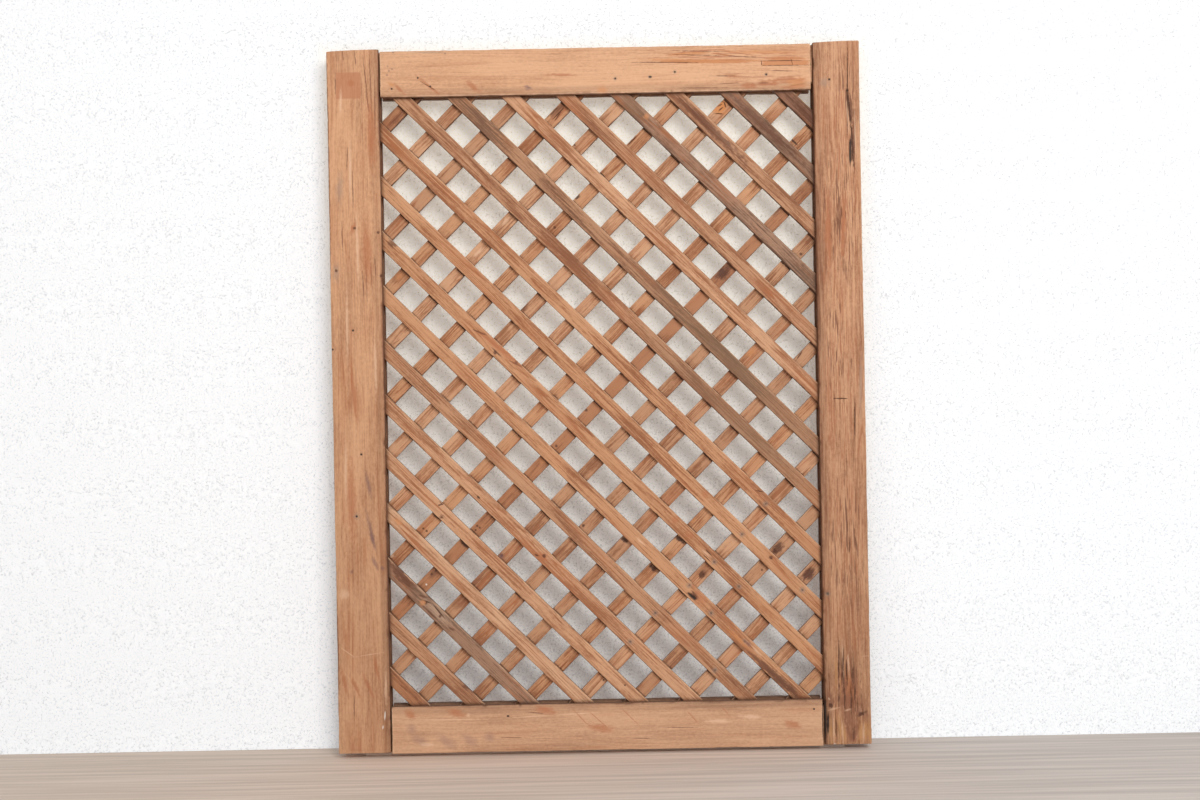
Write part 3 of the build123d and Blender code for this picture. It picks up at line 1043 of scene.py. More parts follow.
def build_painted_edge_lines():
    """Masks of thin lines of painted shade and highlight along both edges of every lath in a layer.
    The distance across the laths to the nearest one's middle is a saw-tooth of the pitch, and a line
    shows where that distance is close to half a lath's width, below or above. Slow noise makes the lines come
    and go."""
    tree, inside, outside = new_group(
        "Painted edge lines",
        [("Vector", "vector", (0, 0, 0)), ("Across", "vector", (0, 0, 0)), ("First", "value", 0.0),
         ("Half width", "value", 8.5 * mm), ("Thickness", "value", 1.2 * mm), ("Ragged", "value", 0.5)],
        [("Lower", "value"), ("Upper", "value")])
    given = inside.outputs
    inputs = {0: given["Vector"], 1: given["Across"]}
    place = put(tree, "VectorMath", inputs, operation="DOT_PRODUCT").outputs["Value"]
    turns = calc(tree, "DIVIDE", calc(tree, "SUBTRACT", place, given["First"]), lath_pitch)
    share = calc(tree, "FRACT", calc(tree, "ADD", turns, middle_turn))
    past = calc(tree, "MULTIPLY", calc(tree, "SUBTRACT", share, 0.5), lath_pitch)
    thick = calc(tree, "MULTIPLY", given["Thickness"], ramp(tree, given["Ragged"], 0.3, 0.7, 0.6, 1.4))
    slow = stretched(tree, given["Vector"], line_come_and_go)
    for name, operation, shift in line_sides:
        away = calc(tree, "ABSOLUTE", calc(tree, operation, past, given["Half width"]))
        line = ramp(tree, calc(tree, "DIVIDE", away, thick), 0.55, 1.0, 1.0, 0.0)
        moved = put(tree, "VectorMath", {0: slow, 1: shift}, operation="ADD").outputs[0]
        coming = ramp(tree, noise(tree, moved, 1.0).outputs["Fac"], 0.38, 0.56, 0.15, 1.0)
        tree.links.new(calc(tree, "MULTIPLY", line, coming), outside.inputs[name])
    return tree


painted_edge_lines = build_painted_edge_lines()
print("group", painted_edge_lines.name, len(painted_edge_lines.nodes), "nodes")

# %% [markdown]
# ## A wood material
# A material starts with the wood group, turned so that its X runs along the board and shifted by a
# seed, so that no two boards share a figure. Marks are then laid over its colour one by one,
# and at last the colour, roughness and bump go to the shader.

# %% Start a wood material
grain_up = (0, math.pi / 2, 0)
grain_right = (0, 0, 0)
grain_falling = (0, -math.pi / 4, 0)
grain_rising = (0, math.pi / 4, 0)
seed_spread = 3.0


def start_wood(name, grain, seed, settings, face_y=front_y):
    """Starts a wood material: grain is the turn that lays X along the board, seed moves the figure,
    and face_y is where the face lies that marks are laid on."""
    rng = np.random.default_rng(seed)
    material, tree, shader = new_material(name)
    here = put(tree, "TexCoord").outputs["Object"]
    place = tuple(float(v) for v in rng.uniform(-seed_spread, seed_spread, 3))
    own = put(tree, "Mapping", {"Vector": here, "Location": place, "Rotation": grain}).outputs[0]
    wear = put(tree, "Attribute", attribute_name="wear", attribute_type="GEOMETRY").outputs["Fac"]
    grime_and_shade = put(tree, "Attribute", attribute_name="grime_and_shade", attribute_type="GEOMETRY").outputs["Fac"]
    wood = place_group(tree, old_wood, {"Vector": own, "Wear and highlight": wear, "Grime and shade": grime_and_shade, **settings}).outputs
    return {"material": material, "tree": tree, "shader": shader, "here": here, "wood": wood,
            "colour": wood["Colour"], "height": wood["Height"], "face_y": face_y}


# %% Add a mark
mark_depth = 5 * mm


def add_mark(start, centre, half_size, tint, strength=0.8, turn=0.0, soft=0.4, rough=0.8, sink=0.0,
             square=0.0, within=None):
    """Lays one mark over a wood material. centre is (x, z), and half_size its half length along the
    turn and its half width, both in mm; sink lowers the bump there. within names a noise of the
    wood and two of its heights, and keeps the mark only where the noise has gone past them."""
    tree = start["tree"]
    inputs = {
        "Vector": start["here"], "Centre": (centre[0] * mm, start["face_y"], centre[1] * mm),
        "Turn": (0, -turn, 0), "Half size": (half_size[0] * mm, mark_depth, half_size[1] * mm),
        "Ragged": start["wood"]["Ragged"], "Rough rim": rough, "Soft rim": soft, "Strength": strength,
        "Square": square}
    mask = place_group(tree, mark_group, inputs).outputs["Mask"]
    if within:
        mask = calc(tree, "MULTIPLY", mask, ramp(tree, start["wood"][within[0]], *within[1:]))
    start["colour"] = blend_colours(tree, mask, start["colour"], (*tint, 1))
    if sink:
        start["height"] = calc(tree, "SUBTRACT", start["height"], calc(tree, "MULTIPLY", mask, sink))


# %% Close a wood material
wood_gloss = 0.35
fibre_height = 0.6 * mm


def close_wood(start, piece, bump=0.5):
    """Wires a wood material to its shader and gives it to a piece."""
    tree, shader = start["tree"], start["shader"]
    inputs = {"Height": start["height"], "Strength": bump, "Distance": fibre_height}
    raised = put(tree, "Bump", inputs).outputs["Normal"]
    tree.links.new(start["colour"], shader.inputs["Base Color"])
    tree.links.new(start["wood"]["Roughness"], shader.inputs["Roughness"])
    tree.links.new(raised, shader.inputs["Normal"])
    shader.inputs["Specular IOR Level"].default_value = wood_gloss
    piece.data.materials.clear()
    piece.data.materials.append(start["material"])


def paint_foot_shade(start):
    """Darkens a stile towards its foot: painted shade, for the light that falls off near the floor."""
    tree = start["tree"]
    height = put(tree, "SeparateXYZ", {0: start["here"]}).outputs["Z"]
    start["colour"] = blend_colours(tree, ramp(tree, height, 0.15, 0.65, 1.0, 0.0), start["colour"],
                                    (0.87, 0.86, 0.85, 1), "MULTIPLY")


# %% [markdown]
# ## Kinds of mark
# Each kind has a tint, a strength, how soft and how rough its rim is, and how far it sinks. The
# scratches and splinters show only where a stretched noise of the wood is high or low enough,
# which breaks one wide mark into many fine lines.

# %% Kinds of mark
mark_kinds = {
    "dull nail": {"tint": (0.085, 0.055, 0.048), "strength": 0.75, "soft": 0.9, "rough": 1.4, "sink": 1.0},
    "nail": {"tint": (0.030, 0.018, 0.014), "strength": 0.95, "soft": 0.5, "rough": 0.5, "sink": 2.0},
    "halo": {"tint": (0.26, 0.19, 0.15), "strength": 0.55, "soft": 0.8, "rough": 0.9},
    "black": {"tint": (0.022, 0.011, 0.008), "strength": 0.95, "soft": 0.4, "rough": 0.9, "sink": 3.0},
    "crack": {"tint": (0.075, 0.026, 0.012), "strength": 0.9, "soft": 0.5, "rough": 1.6, "sink": 2.5},
    "brown": {"tint": (0.17, 0.066, 0.034), "strength": 0.7, "soft": 0.6, "rough": 2.0},
    "foxy": {"tint": (0.44, 0.155, 0.065), "strength": 0.65, "soft": 0.7, "rough": 1.8},
    "orange": {"tint": (0.60, 0.260, 0.105), "strength": 0.7, "soft": 0.7, "rough": 1.4},
    "grey": {"tint": (0.36, 0.250, 0.185), "strength": 0.55, "soft": 0.9, "rough": 1.6},
    "smoke": {"tint": (0.20, 0.115, 0.065), "strength": 0.6, "soft": 0.9, "rough": 0.8},
    "purple": {"tint": (0.20, 0.105, 0.10), "strength": 0.6, "soft": 0.8, "rough": 1.8},
    "smudge": {"tint": (0.25, 0.140, 0.125), "strength": 0.4, "soft": 1.0, "rough": 1.2},
    "umber": {"tint": (0.125, 0.046, 0.024), "strength": 0.75, "soft": 0.6, "rough": 2.2},
    "ochre": {"tint": (0.56, 0.290, 0.120), "strength": 0.75, "soft": 0.7, "rough": 1.8},
    "ash": {"tint": (0.58, 0.400, 0.280), "strength": 0.5, "soft": 0.8, "rough": 2.0},
    "scratches": {"tint": (0.17, 0.062, 0.030), "strength": 0.85, "soft": 0.8, "rough": 1.0,
                  "within": ("Scratch", 0.575, 0.65)},
    "foxy scratches": {"tint": (0.42, 0.165, 0.080), "strength": 0.8, "soft": 0.8, "rough": 1.0,
                       "within": ("Scratch", 0.44, 0.36)},
    "dark splinters": {"tint": (0.085, 0.030, 0.014), "strength": 0.85, "soft": 0.9, "rough": 1.5,
                       "sink": 1.0, "within": ("Streak", 0.50, 0.57)},
    "ochre splinters": {"tint": (0.56, 0.290, 0.120), "strength": 0.75, "soft": 0.9, "rough": 1.5,
                        "within": ("Streak", 0.45, 0.38)},
    "heart": {"tint": (0.27, 0.110, 0.060), "strength": 0.7, "soft": 0.5, "rough": 2.2},
    "band": {"tint": (0.50, 0.190, 0.070), "strength": 0.85, "soft": 0.5, "rough": 0.9},
    "rust": {"tint": (0.62, 0.235, 0.068), "strength": 0.85, "soft": 0.4, "rough": 1.2},
    # Dark chips where a front lath crosses a back lath, with painted shade there as well.
    "contact": {"tint": (0.050, 0.020, 0.012), "strength": 0.9, "soft": 0.6, "rough": 1.8, "sink": 1.0},
    "pale": {"tint": (0.80, 0.53, 0.36), "strength": 0.6, "soft": 0.8, "rough": 1.6},
    "tan": {"tint": (0.60, 0.325, 0.175), "strength": 0.5, "soft": 1.0, "rough": 2.2},
    "fleck": {"tint": (0.82, 0.76, 0.70), "strength": 0.85, "soft": 0.5, "rough": 1.2},
    "knot": {"tint": (0.090, 0.030, 0.015), "strength": 0.85, "soft": 0.5, "rough": 1.6, "sink": 1.0},
}
print(len(mark_kinds), "kinds of mark")


def lay(start, kind, width, *places):
    """Lays marks of one kind. A place is (x, z) for a spot or (x, z, x, z) for a streak, in mm, and
    width is the full size across."""
    for place in places:
        x, z = place[:2]
        far_x, far_z = place[2:] if len(place) == 4 else (x, z)
        long_half = max(math.hypot(far_x - x, far_z - z), width) / 2
        add_mark(start, ((x + far_x) / 2, (z + far_z) / 2), (long_half, width / 2),
                 turn=math.atan2(far_z - z, far_x - x), **mark_kinds[kind])


# %% [markdown]
# ## Laths
# The laths were sawn from different boards, so each one has its own tone: from sand to honey,
# amber and russet, with a few stained or weathered dark. Those not named are amber.

# %% Tones of the laths
sand = {"Pale": (0.68, 0.400, 0.238, 1), "Dark": (0.36, 0.160, 0.078, 1)}
honey = {"Pale": (0.65, 0.360, 0.205, 1), "Dark": (0.34, 0.135, 0.060, 1)}
amber = {"Pale": (0.60, 0.310, 0.160, 1), "Dark": (0.30, 0.105, 0.042, 1)}
russet = {"Pale": (0.54, 0.285, 0.155, 1), "Dark": (0.26, 0.095, 0.042, 1)}
foxy = {"Pale": (0.44, 0.195, 0.092, 1), "Dark": (0.19, 0.060, 0.026, 1)}
smoky = {"Pale": (0.46, 0.238, 0.128, 1), "Dark": (0.18, 0.076, 0.038, 1), "Grey amount": 0.3}
driftwood = {"Pale": (0.38, 0.212, 0.132, 1), "Dark": (0.13, 0.066, 0.040, 1), "Grey amount": 0.3}
umber = {"Pale": (0.30, 0.155, 0.090, 1), "Dark": (0.10, 0.045, 0.025, 1), "Grey amount": 0.3}
mahogany = {"Pale": (0.27, 0.120, 0.064, 1), "Dark": (0.09, 0.034, 0.018, 1)}
front_tones = {
    1: {**foxy, "Level": 0.78}, 2: {**russet, "Level": 0.82}, 3: {**driftwood, "Level": 0.83}, 4: sand,
    5: honey, 6: honey, 7: {**russet, "Level": 0.7}, 8: {**amber, "Level": 0.8}, 12: russet, 13: smoky,
    14: honey, 15: russet, 16: driftwood, 17: {**russet, "Level": 0.74}, 18: {**umber, "Level": 0.85},
    19: mahogany}
back_tones = {
    1: {**amber, "Level": 0.85}, 2: honey, 3: honey, 4: russet, 5: honey, 7: russet, 8: russet,
    9: russet, 10: {**foxy, "Level": 0.9}, 12: {**honey, "Level": 0.66}, 13: {**honey, "Level": 0.7},
    15: {**honey, "Level": 0.82}, 17: russet, 18: {**honey, "Level": 0.86}, 19: {**foxy, "Level": 0.85}}
print("laths with a tone of their own:", len(front_tones), "in front,", len(back_tones), "behind")

# %% Marks on the front laths
lath_nails = [
    (104.5, 195.1), (130.4, 161.4), (169.6, 126.3), (164.2, 192.9), (62.8, 162.6), (32.2, 128.8),
    (133.5, 92.6), (240.6, 187.0), (198.4, 291.5), (168.8, 255.5), (135.0, 222.9)]
front_marks = [
    ("halo", 8, *lath_nails),
    ("dull nail", 3, *lath_nails),
    ("brown", 15, (-255, 227, -228, 200)),
    ("ash", 12, (-216, 186, -185, 154)),
    ("knot", 4, (-213, 180), (-196, 164)),
    ("crack", 2, (-219, 184, -205, 179), (-205, 179, -190, 160), (-212, 190, -198, 178),
     (-198, 178, -184, 163)),
    ("foxy", 16, (107, 189, 124, 172)),
    ("knot", 9, (104, 187, 114, 178)),
    ("black", 3.4, (102, 187, 109, 180), (108, 183, 112, 178)),
    ("foxy", 9, (112, 196), (-69.6, 234.0), (-79, 237, -66, 228), (88.9, 274.5), (105.7, 255.8),
     (125.1, 304.6)),
    ("knot", 5, (-98.8, 467.5), (-123.7, 480.3), (-69.6, 234.0), (203.5, 226.9)),
    ("knot", 2.4, (-196, 297, -188, 300), (-81, 236, -76, 234), (-195, 303, -190, 299)),
    # Dark chips at crossings, with painted shade.
    ("contact", 2.4, (-149.5, 308, -145, 304), (-194, 284, -190, 281), (2, 700, 10, 690), (25, 76.7)),
    ("umber", 3, (-224, 190, -208, 186), (-186, 150, -178, 146), (-206, 186, -190, 170),
     (-216, 176, -200, 160)),
    ("umber", 9, (183.7, 106, 237, 56), (190, 98, 237, 52)),
    ("umber", 14, (-254, 226, -226, 198)),
    ("umber", 12, (-250, 619, -240, 610), (40, 764, 56, 748), (-170, 86, -160, 74)),
    ("smoke", 18, (30, 786, 60, 757)),
    ("orange", 7, (63.1, 761.0), (-249, 282, -240, 275), (-220, 183, -214, 178)),
    ("brown", 6, (-256, 301, -246, 292), (-192.1, 283.2)),
    ("purple", 6, (4, 698, 9, 692), (171, 126, 178, 120)),
    ("pale", 3, (42, 254, 52, 244), (121, 238, 131, 228), (178, 121, 190, 108)),
    ("crack", 1.2, (186, 308, 197, 306), (120, 234, 130, 224), (124, 239, 133, 230)),
    ("knot", 2.2, (-150, 508, -132, 500), (-128, 486, -116, 474), (-108, 470, -92, 462)),
    ("foxy", 10, (-140, 505, -92, 460)),
    ("brown", 7, (160, 126, 236, 58)),
    ("orange", 6, (150, 142, 176, 116)),
]

# %% Marks on the back laths
back_marks = [
    ("purple", 12, (244, 200, 254, 210)),
    ("umber", 17, (142, 561, 164, 583)),
    ("knot", 12, (146, 565, 158, 577)),
    ("rust", 20, (149, 769, 155, 775)),
    ("crack", 1.6, (143, 766, 144, 774), (144, 774, 150, 780), (151, 780, 158, 777), (158, 777, 160, 770),
     (146, 764, 156, 763), (149, 772, 155, 775), (151, 767, 156, 771)),
    ("knot", 4, (-52.6, 366.2), (-15.8, 408.7), (251.8, 49.7), (39.3, 733.0), (-49.8, 629.7),
     (-23.5, 664.8), (-22, 269.2), (-201.9, 155), (110.1, 274.3), (209, 233.5), (247, 592),
     (-121.4, 235)),
    ("brown", 11, (-53, 763, -36, 779), (-246, 567, -232, 581), (-209, 209, -198, 220),
     (117, 205, 127, 211)),
    ("umber", 10, (212, 638, 225, 651), (-94, 530, -84, 540)),
    ("knot", 12, (206, 231, 219, 244), (243, 199, 256, 212)),
    ("knot", 9, (117, 205, 124, 209)),
    ("brown", 9, (59, 330, 69, 340), (-131, 303, -121, 313), (-60, 418, -50, 428), (104, 443, 114, 453),
     (30, 478, 40, 488)),
    ("crack", 1.4, (-50, 760, -36, 774), (-54, 764, -40, 778), (-47, 759, -40, 768), (36, 727, 46, 737),
     (41, 728, 51, 738), (33, 735, 43, 745)),
    # Dark chips at crossings, with painted shade.
    ("contact", 2.6, (-30, 735, -22, 727), (-236, 321.5, -228, 313.5), (-139.5, 224.5, -128.5, 213.5),
     (-109, 194, -98, 183), (4, 697, 12, 689), (236, 733, 246, 723), (-193, 309, -187, 303)),
    ("contact", 6, (-203.5, 289.5, -193.5, 279.5), (-170, 254.5, -160, 244.5), (23, 255, 32, 247),
     (56, 222, 67, 211), (88, 256, 100, 245), (-27, 673, -19, 665)),
    ("knot", 3, (-152, 266), (-147, 269), (-150, 271), (-206, 214), (-201, 218), (-215, 269), (-211, 266),
     (122.4, 207.5), (192.8, 211.7), (-0.8, 82.1), (-134, 221), (-97.6, 186), (208.3, 236.3)),
    ("purple", 9, (-128, 231, -118, 236)),
    ("pale", 5, (-114, 633, -104, 643), (-147, 597, -137, 607), (-253.5, 237)),
    ("orange", 9, (-244, 569, -233, 579), (106, 271, 113, 278), (-72, 345, -62, 355),
     (180, 470, 190, 480)),
    ("fleck", 2.4, (-212.6, 201.4)),
    ("purple", 6, (-137, 549, -132, 554)),
    ("crack", 1.6, (240, 466, 247, 475)),
]
print(sum(len(entry) - 2 for entry in front_marks + back_marks), "marks on the laths")

# %% Find the lath under a mark


def nearest_lath(x, z, falls):
    """Number of the lath whose middle line runs closest to a point in mm."""
    across = (x * mm - opening_x) * (1 if falls else -1) + z * mm - opening_z
    shift = 0 if falls else back_lath_shift
    return round(float((across * diagonal - shift - offsets[0]) / lath_pitch)) + 1


def lay_own_marks(start, number, marks, falls):
    """Lays those marks of a list that lie on one lath."""
    for kind, width, *places in marks:
        own = [p for p in places
               if nearest_lath((p[0] + p[-2]) / 2, (p[1] + p[-1]) / 2, falls) == number]
        lay(start, kind, width, *own)


# %% Painted shade and highlight along the lath edges
falling_across = (diagonal, 0, diagonal)
rising_across = (-diagonal, 0, diagonal)
falling_first = (opening_x + opening_z) * diagonal
rising_first = (opening_z - opening_x) * diagonal + back_lath_shift
# Colours of painted contact shade, painted edge shade and painted edge highlight.
contact_shade = (0.040, 0.014, 0.007, 1)
edge_shade = (0.105, 0.042, 0.020, 1)
edge_highlight = (0.78, 0.49, 0.30, 1)


def paint_edge_shade_and_highlight(start, across, first, half_width, thickness, lower, upper):
    """Paints shade and highlight on the front face along the edges of a layer's laths: lower and upper are
    (colour, strength).
    """
    tree = start["tree"]
    depth = put(tree, "SeparateXYZ", {0: start["here"]}).outputs["Y"]
    near_face = ramp(tree, depth, start["face_y"] + 1.5 * mm, start["face_y"] + 3 * mm, 1.0, 0.0)
    lines = place_group(tree, painted_edge_lines, {
        "Vector": start["here"], "Across": across, "First": first, "Half width": half_width,
        "Thickness": thickness, "Ragged": start["wood"]["Ragged"]}).outputs
    for name, (tint, strength) in (("Lower", lower), ("Upper", upper)):
        share = calc(tree, "MULTIPLY", calc(tree, "MULTIPLY", lines[name], strength), near_face)
        start["colour"] = blend_colours(tree, share, start["colour"], tint)


# %% [markdown]
# ## Lath materials
# On a falling lath x + z stays the same, and from one lath to the next it grows by 65.6 mm, the
# pitch times the root of two. Laths 12 and 13 are smoked towards their lower ends, and 17 to 19
# are darkened towards their upper ends.

# %% Front lath materials
front_lath_look = {
    "Red amount": 0.6, "Grey amount": 0.1, "Level": 0.65, "Tone strength": 1.8, "Tone along": 11.0,
    "Fibre strength": 2.0, "Streak strength": 1.5, "Ring strength": 0.3, "Ring count": 19.0}
smoked_laths = (12, 13)
smoked_diagonal = 557
darkened_laths = (17, 18, 19)
darkened_diagonal = 885
diagonal_step = 65.6
for number, piece in enumerate(front_laths, 1):
    look = {**front_lath_look, **front_tones.get(number, amber)}
    start = start_wood(f"Front lath {number:02d}", grain_falling, 300 + number, look, front_layer[0])
    lay_own_marks(start, number, front_marks, True)
    if number in smoked_laths:
        level = smoked_diagonal + diagonal_step * (number - smoked_laths[0])
        lay(start, "smoke", 26, (60, level - 60, 262, level - 262))
    if number in darkened_laths:
        level = darkened_diagonal + diagonal_step * (number - darkened_laths[0])
        lay(start, "umber", 11, (level - 790, 790, level - 700, 700))
    # Painted shade along each lower edge and a painted highlight along each upper edge.
    paint_edge_shade_and_highlight(start, falling_across, falling_first, front_lath_width / 2, 1.1 * mm,
               (edge_shade, 0.95), (edge_highlight, 0.55))
    close_wood(start, piece)
print("front lath materials:", len(front_laths))

# %% Back lath materials
back_lath_look = {
    "Red amount": 0.6, "Grey amount": 0.1, "Level": 0.73, "Tone strength": 2.2, "Tone along": 20.0,
    "Fibre strength": 1.8, "Streak strength": 1.4}
ribbed_look = {"Ring count": 30.0, "Ring strength": 0.32}
for number, piece in enumerate(back_laths, 1):
    ribbed = ribbed_look if number % 3 != 1 else {}
    look = {**back_lath_look, **ribbed, **back_tones.get(number, amber)}
    start = start_wood(f"Back lath {number:02d}", grain_rising, 400 + number, look, back_layer[0])
    lay_own_marks(start, number, back_marks, False)
    # Painted shade along each lower edge and a painted highlight along each upper edge.
    paint_edge_shade_and_highlight(start, rising_across, rising_first, back_lath_width / 2, 1.0 * mm,
               (edge_shade, 0.9), (edge_highlight, 0.45))
    # Painted contact shade on the back laths along both edges of every front lath.
    paint_edge_shade_and_highlight(start, falling_across, falling_first, front_lath_width / 2 + 0.2 * mm, 1.1 * mm,
               (contact_shade, 0.9), (contact_shade, 0.6))
    close_wood(start, piece)
print("back lath materials:", len(back_laths))

# %% [markdown]
# ## Frame
# The rails are paler and calmer than the stiles, and the right stile is the most weathered. All
# four share one set of values, and each changes a few of them.

# %% Frame tones
stile_tone = {"Pale": (0.68, 0.380, 0.213, 1), "Dark": (0.36, 0.150, 0.070, 1), "Level": 0.68,
              "Red amount": 0.4, "Grey amount": 0.1, "Ring count": 9.0, "Streak strength": 0.45,
              "Fibre strength": 0.9, "Ring strength": 0.08, "Fleck strength": 0.7, "Pores": 0.2}
weathered_tone = {**stile_tone, "Pale": (0.635, 0.350, 0.200, 1), "Dark": (0.29, 0.105, 0.046, 1),
                  "Streak strength": 1.15, "Ring strength": 0.16, "Ring count": 24.0,
                  "Grey amount": 0.15, "Pores": 0.35}
# Painted light: the top rail is paler, as lit from above.
top_tone = {**stile_tone, "Pale": (0.74, 0.430, 0.253, 1), "Dark": (0.42, 0.200, 0.104, 1),
            "Red amount": 0.2, "Grey amount": 0.0, "Streak strength": 0.16, "Fibre strength": 0.7,
            "Level": 0.70, "Pores": 0.1}
# Painted shade: the bottom rail is a darker copy of the top rail's tone.
shaded_bottom_tone = {**top_tone, "Pale": (0.67, 0.400, 0.242, 1), "Dark": (0.37, 0.180, 0.100, 1),
               "Grey amount": 0.1}
print("frame tones:", len(stile_tone), "values each")

# %% [markdown]
# ### Left stile
# A square patch near its head is redder than the rest, as if a plate had covered it. Thin dark
# splits and pale rubbed lines run up the board.

# %% Left stile material
start = start_wood("Left stile wood", grain_up, 501, stile_tone)
add_mark(start, (-293.9, 803.2), (15.0, 16.2), (0.48, 0.195, 0.098), 0.75, soft=0.1, rough=0.15,
         square=1.0)
lay(start, "foxy", 9, (-290.8, 806.0))
lay(start, "brown", 1.6, (-276, 838, -271, 790), (-268, 843, -266, 758), (-273, 800, -269, 768),
    (-262, 806, -263, 742), (-286, 845, -284, 826), (-300, 845, -299, 832), (-296, 732, -297.5, 700),
    (-291, 702, -290.5, 650), (-305, 640, -304, 600), (-277, 606, -276, 548), (-271, 600, -270, 560),
    (-281, 580, -279.5, 545), (-300.2, 77.8, -300.9, 39.5), (-309, 820, -309.5, 790),
    (-266, 600, -265, 570))
# Painted shade: dark brown lines along both long arrises of the stile.
lay(start, "brown", 2.6, (-319.3, 845, -319.2, 560), (-319, 190, -318.5, 55), (-258.2, 846, -257.8, 700),
    (-257.9, 560, -257.8, 410), (-257.9, 330, -257.8, 100))
lay(start, "pale", 3.4, (-292.7, 737.4, -294.1, 665.3), (-303, 800, -304, 770), (-287, 650, -286, 560),
    (-300, 560, -301, 470), (-268, 500, -267, 430), (-305, 380, -306, 300), (-262, 100, -262.5, 60))
lay(start, "pale", 1.2, (-316, 129.6, -299.5, 117.4), (-299.5, 117.4, -263.4, 122.7))
lay(start, "foxy", 5, (-291.7, 632.9), (-294, 624, -288, 640), (-297.6, 473.3, -290.7, 395.2),
    (-315.3, 104.5, -308, 70), (-305, 96, -292, 68), (-290, 98, -276, 66), (-276, 120, -270, 88))
lay(start, "foxy", 12, (-276, 640, -274, 560), (-300, 360, -298, 250), (-268, 790, -266, 700))
lay(start, "grey", 9, (-312.5, 590, -312.5, 568), (-293.3, 286.2), (-305, 700, -308, 660))
lay(start, "knot", 4, (-312.5, 581.5), (-261.2, 626.3), (-258.6, 574.6), (-289.5, 632))
lay(start, "purple", 5, (-282.1, 341.1, -275.5, 308.6), (-281.8, 293.2, -270.7, 242.6),
    (-275.6, 237.9, -268.8, 221.0), (-300.5, 219.8), (-263.3, 223.3), (-279, 270, -272, 250))
lay(start, "nail", 3, (-293.7, 509.3), (-286.5, 360.4), (-293.3, 286.2), (-318.6, 486.9))
lay(start, "pale", 13, (-310, 193))
lay(start, "fleck", 1.8, (-263.6, 52, -264.2, 41), (-266.3, 35, -266.8, 30))
# Painted shade: the stile grows darker towards the floor.
paint_foot_shade(start)
close_wood(start, left_stile, 0.4)
print(left_stile.name, "has", len(start["tree"].nodes), "nodes")

# %% [markdown]
# ### Right stile
# Fine scratches run up it, and a long crack splits it near its head. Its foot is torn round a large
# knot: dark and ochre splinters stand over a red heart, and a brown wedge points down.

# %% Right stile: streaks and scratches
start = start_wood("Right stile wood", grain_up, 502, weathered_tone)
lay(start, "grey", 13, (277.5, 796.5))
lay(start, "grey", 5, (315.4, 474.0, 313.7, 390.0))
lay(start, "foxy", 7, (278, 663, 279, 564), (298, 665, 296, 584))
lay(start, "scratches", 54, (292, 720, 291, 550), (293, 350, 292, 150))
lay(start, "foxy scratches", 54, (292, 820, 291, 560), (292, 560, 292, 300), (293, 300, 292, 120))
lay(start, "tan", 20, (274, 130, 275, 84), (308, 110, 309, 56), (277, 30, 277, 2), (310, 24, 310, 0))
lay(start, "scratches", 28, (303, 840, 307, 690), (283, 560, 284, 400))
print("after the scratches:", len(start["tree"].nodes), "nodes")

# %% Right stile: the torn foot
lay(start, "foxy", 24, (291, 98, 295, 40))
lay(start, "heart", 20, (276, 62, 306, 46))
lay(start, "heart", 15, (291, 46, 297, 20))
lay(start, "heart", 9, (268, 66, 274, 46), (286, 96, 288, 62), (300, 96, 301, 62), (296, 24, 297, 2))
lay(start, "dark splinters", 34, (290, 116, 291, 60))
lay(start, "dark splinters", 40, (292, 70, 293, 36))
lay(start, "dark splinters", 16, (277, 40, 277, 4))
lay(start, "ochre splinters", 22, (283, 112, 284, 60))
lay(start, "ochre splinters", 18, (277, 42, 277, 0))
lay(start, "ochre splinters", 14, (311, 36, 311, 0))
lay(start, "smudge", 9, (303, 41, 314, 38))
lay(start, "knot", 5, (304, 39, 311, 37), (269, 51, 274, 46))
lay(start, "ochre", 4.5, (271, 32, 271.5, 2), (281, 36, 283, 4), (286, 24, 288, 3), (308, 30, 306, 2),
    (313, 32, 313, 3), (317, 30, 317.5, 2))
lay(start, "heart", 6, (289, 28, 297, 6), (303, 28, 298, 4))
lay(start, "umber", 3, (277, 36, 278, 4), (298, 24, 298.5, 6))
lay(start, "pale", 2.4, (269, 43, 281, 46), (286.5, 126, 287.5, 82), (293, 112, 294, 84),
    (268.5, 58, 270, 55), (274, 34, 274.5, 4), (284.5, 30, 285.5, 3), (310.5, 28, 310, 4),
    (288, 42, 296, 44))
print("after the foot:", len(start["tree"].nodes), "nodes")

# %% Right stile: cracks, edges and nails
lay(start, "crack", 1.6, (306.0, 844, 303.8, 732.3), (307.0, 414.2, 306.1, 366.2),
    (281.9, 417.0, 298.7, 416.7), (282.5, 127, 281.7, 83), (287.7, 118, 286.3, 81),
    (290.8, 104, 290.8, 75.5))
lay(start, "brown", 2, (312.9, 769.4, 311.2, 684.1), (291, 534, 291.6, 518), (303.6, 470, 304, 452))
lay(start, "pale", 1.0, (309.5, 107.0, 319.5, 107.5))
lay(start, "umber", 5, (307, 786, 310, 744), (309.5, 750, 311, 696))
lay(start, "crack", 2.4, (305.5, 784, 308.5, 740), (308.5, 744, 310.5, 698))
lay(start, "pale", 1.6, (303.4, 776, 305.5, 738), (313, 760, 313.5, 706))
lay(start, "black", 3.2, (267.8, 39.8, 267.2, 13.5), (307.4, 732.2, 306.7, 696.2), (264.6, 62, 264.4, 4))
lay(start, "umber", 4, (302, 35, 315, 41))
lay(start, "nail", 3, (304.9, 786.3), (283.5, 800.0), (270.0, 182.9))
lay(start, "halo", 8, (270.0, 182.9))
lay(start, "fleck", 3, (275.6, 1.6))
# Painted shade: the stile grows darker towards the floor.
paint_foot_shade(start)
close_wood(start, right_stile, 0.7)
print(right_stile.name, "has", len(start["tree"].nodes), "nodes")
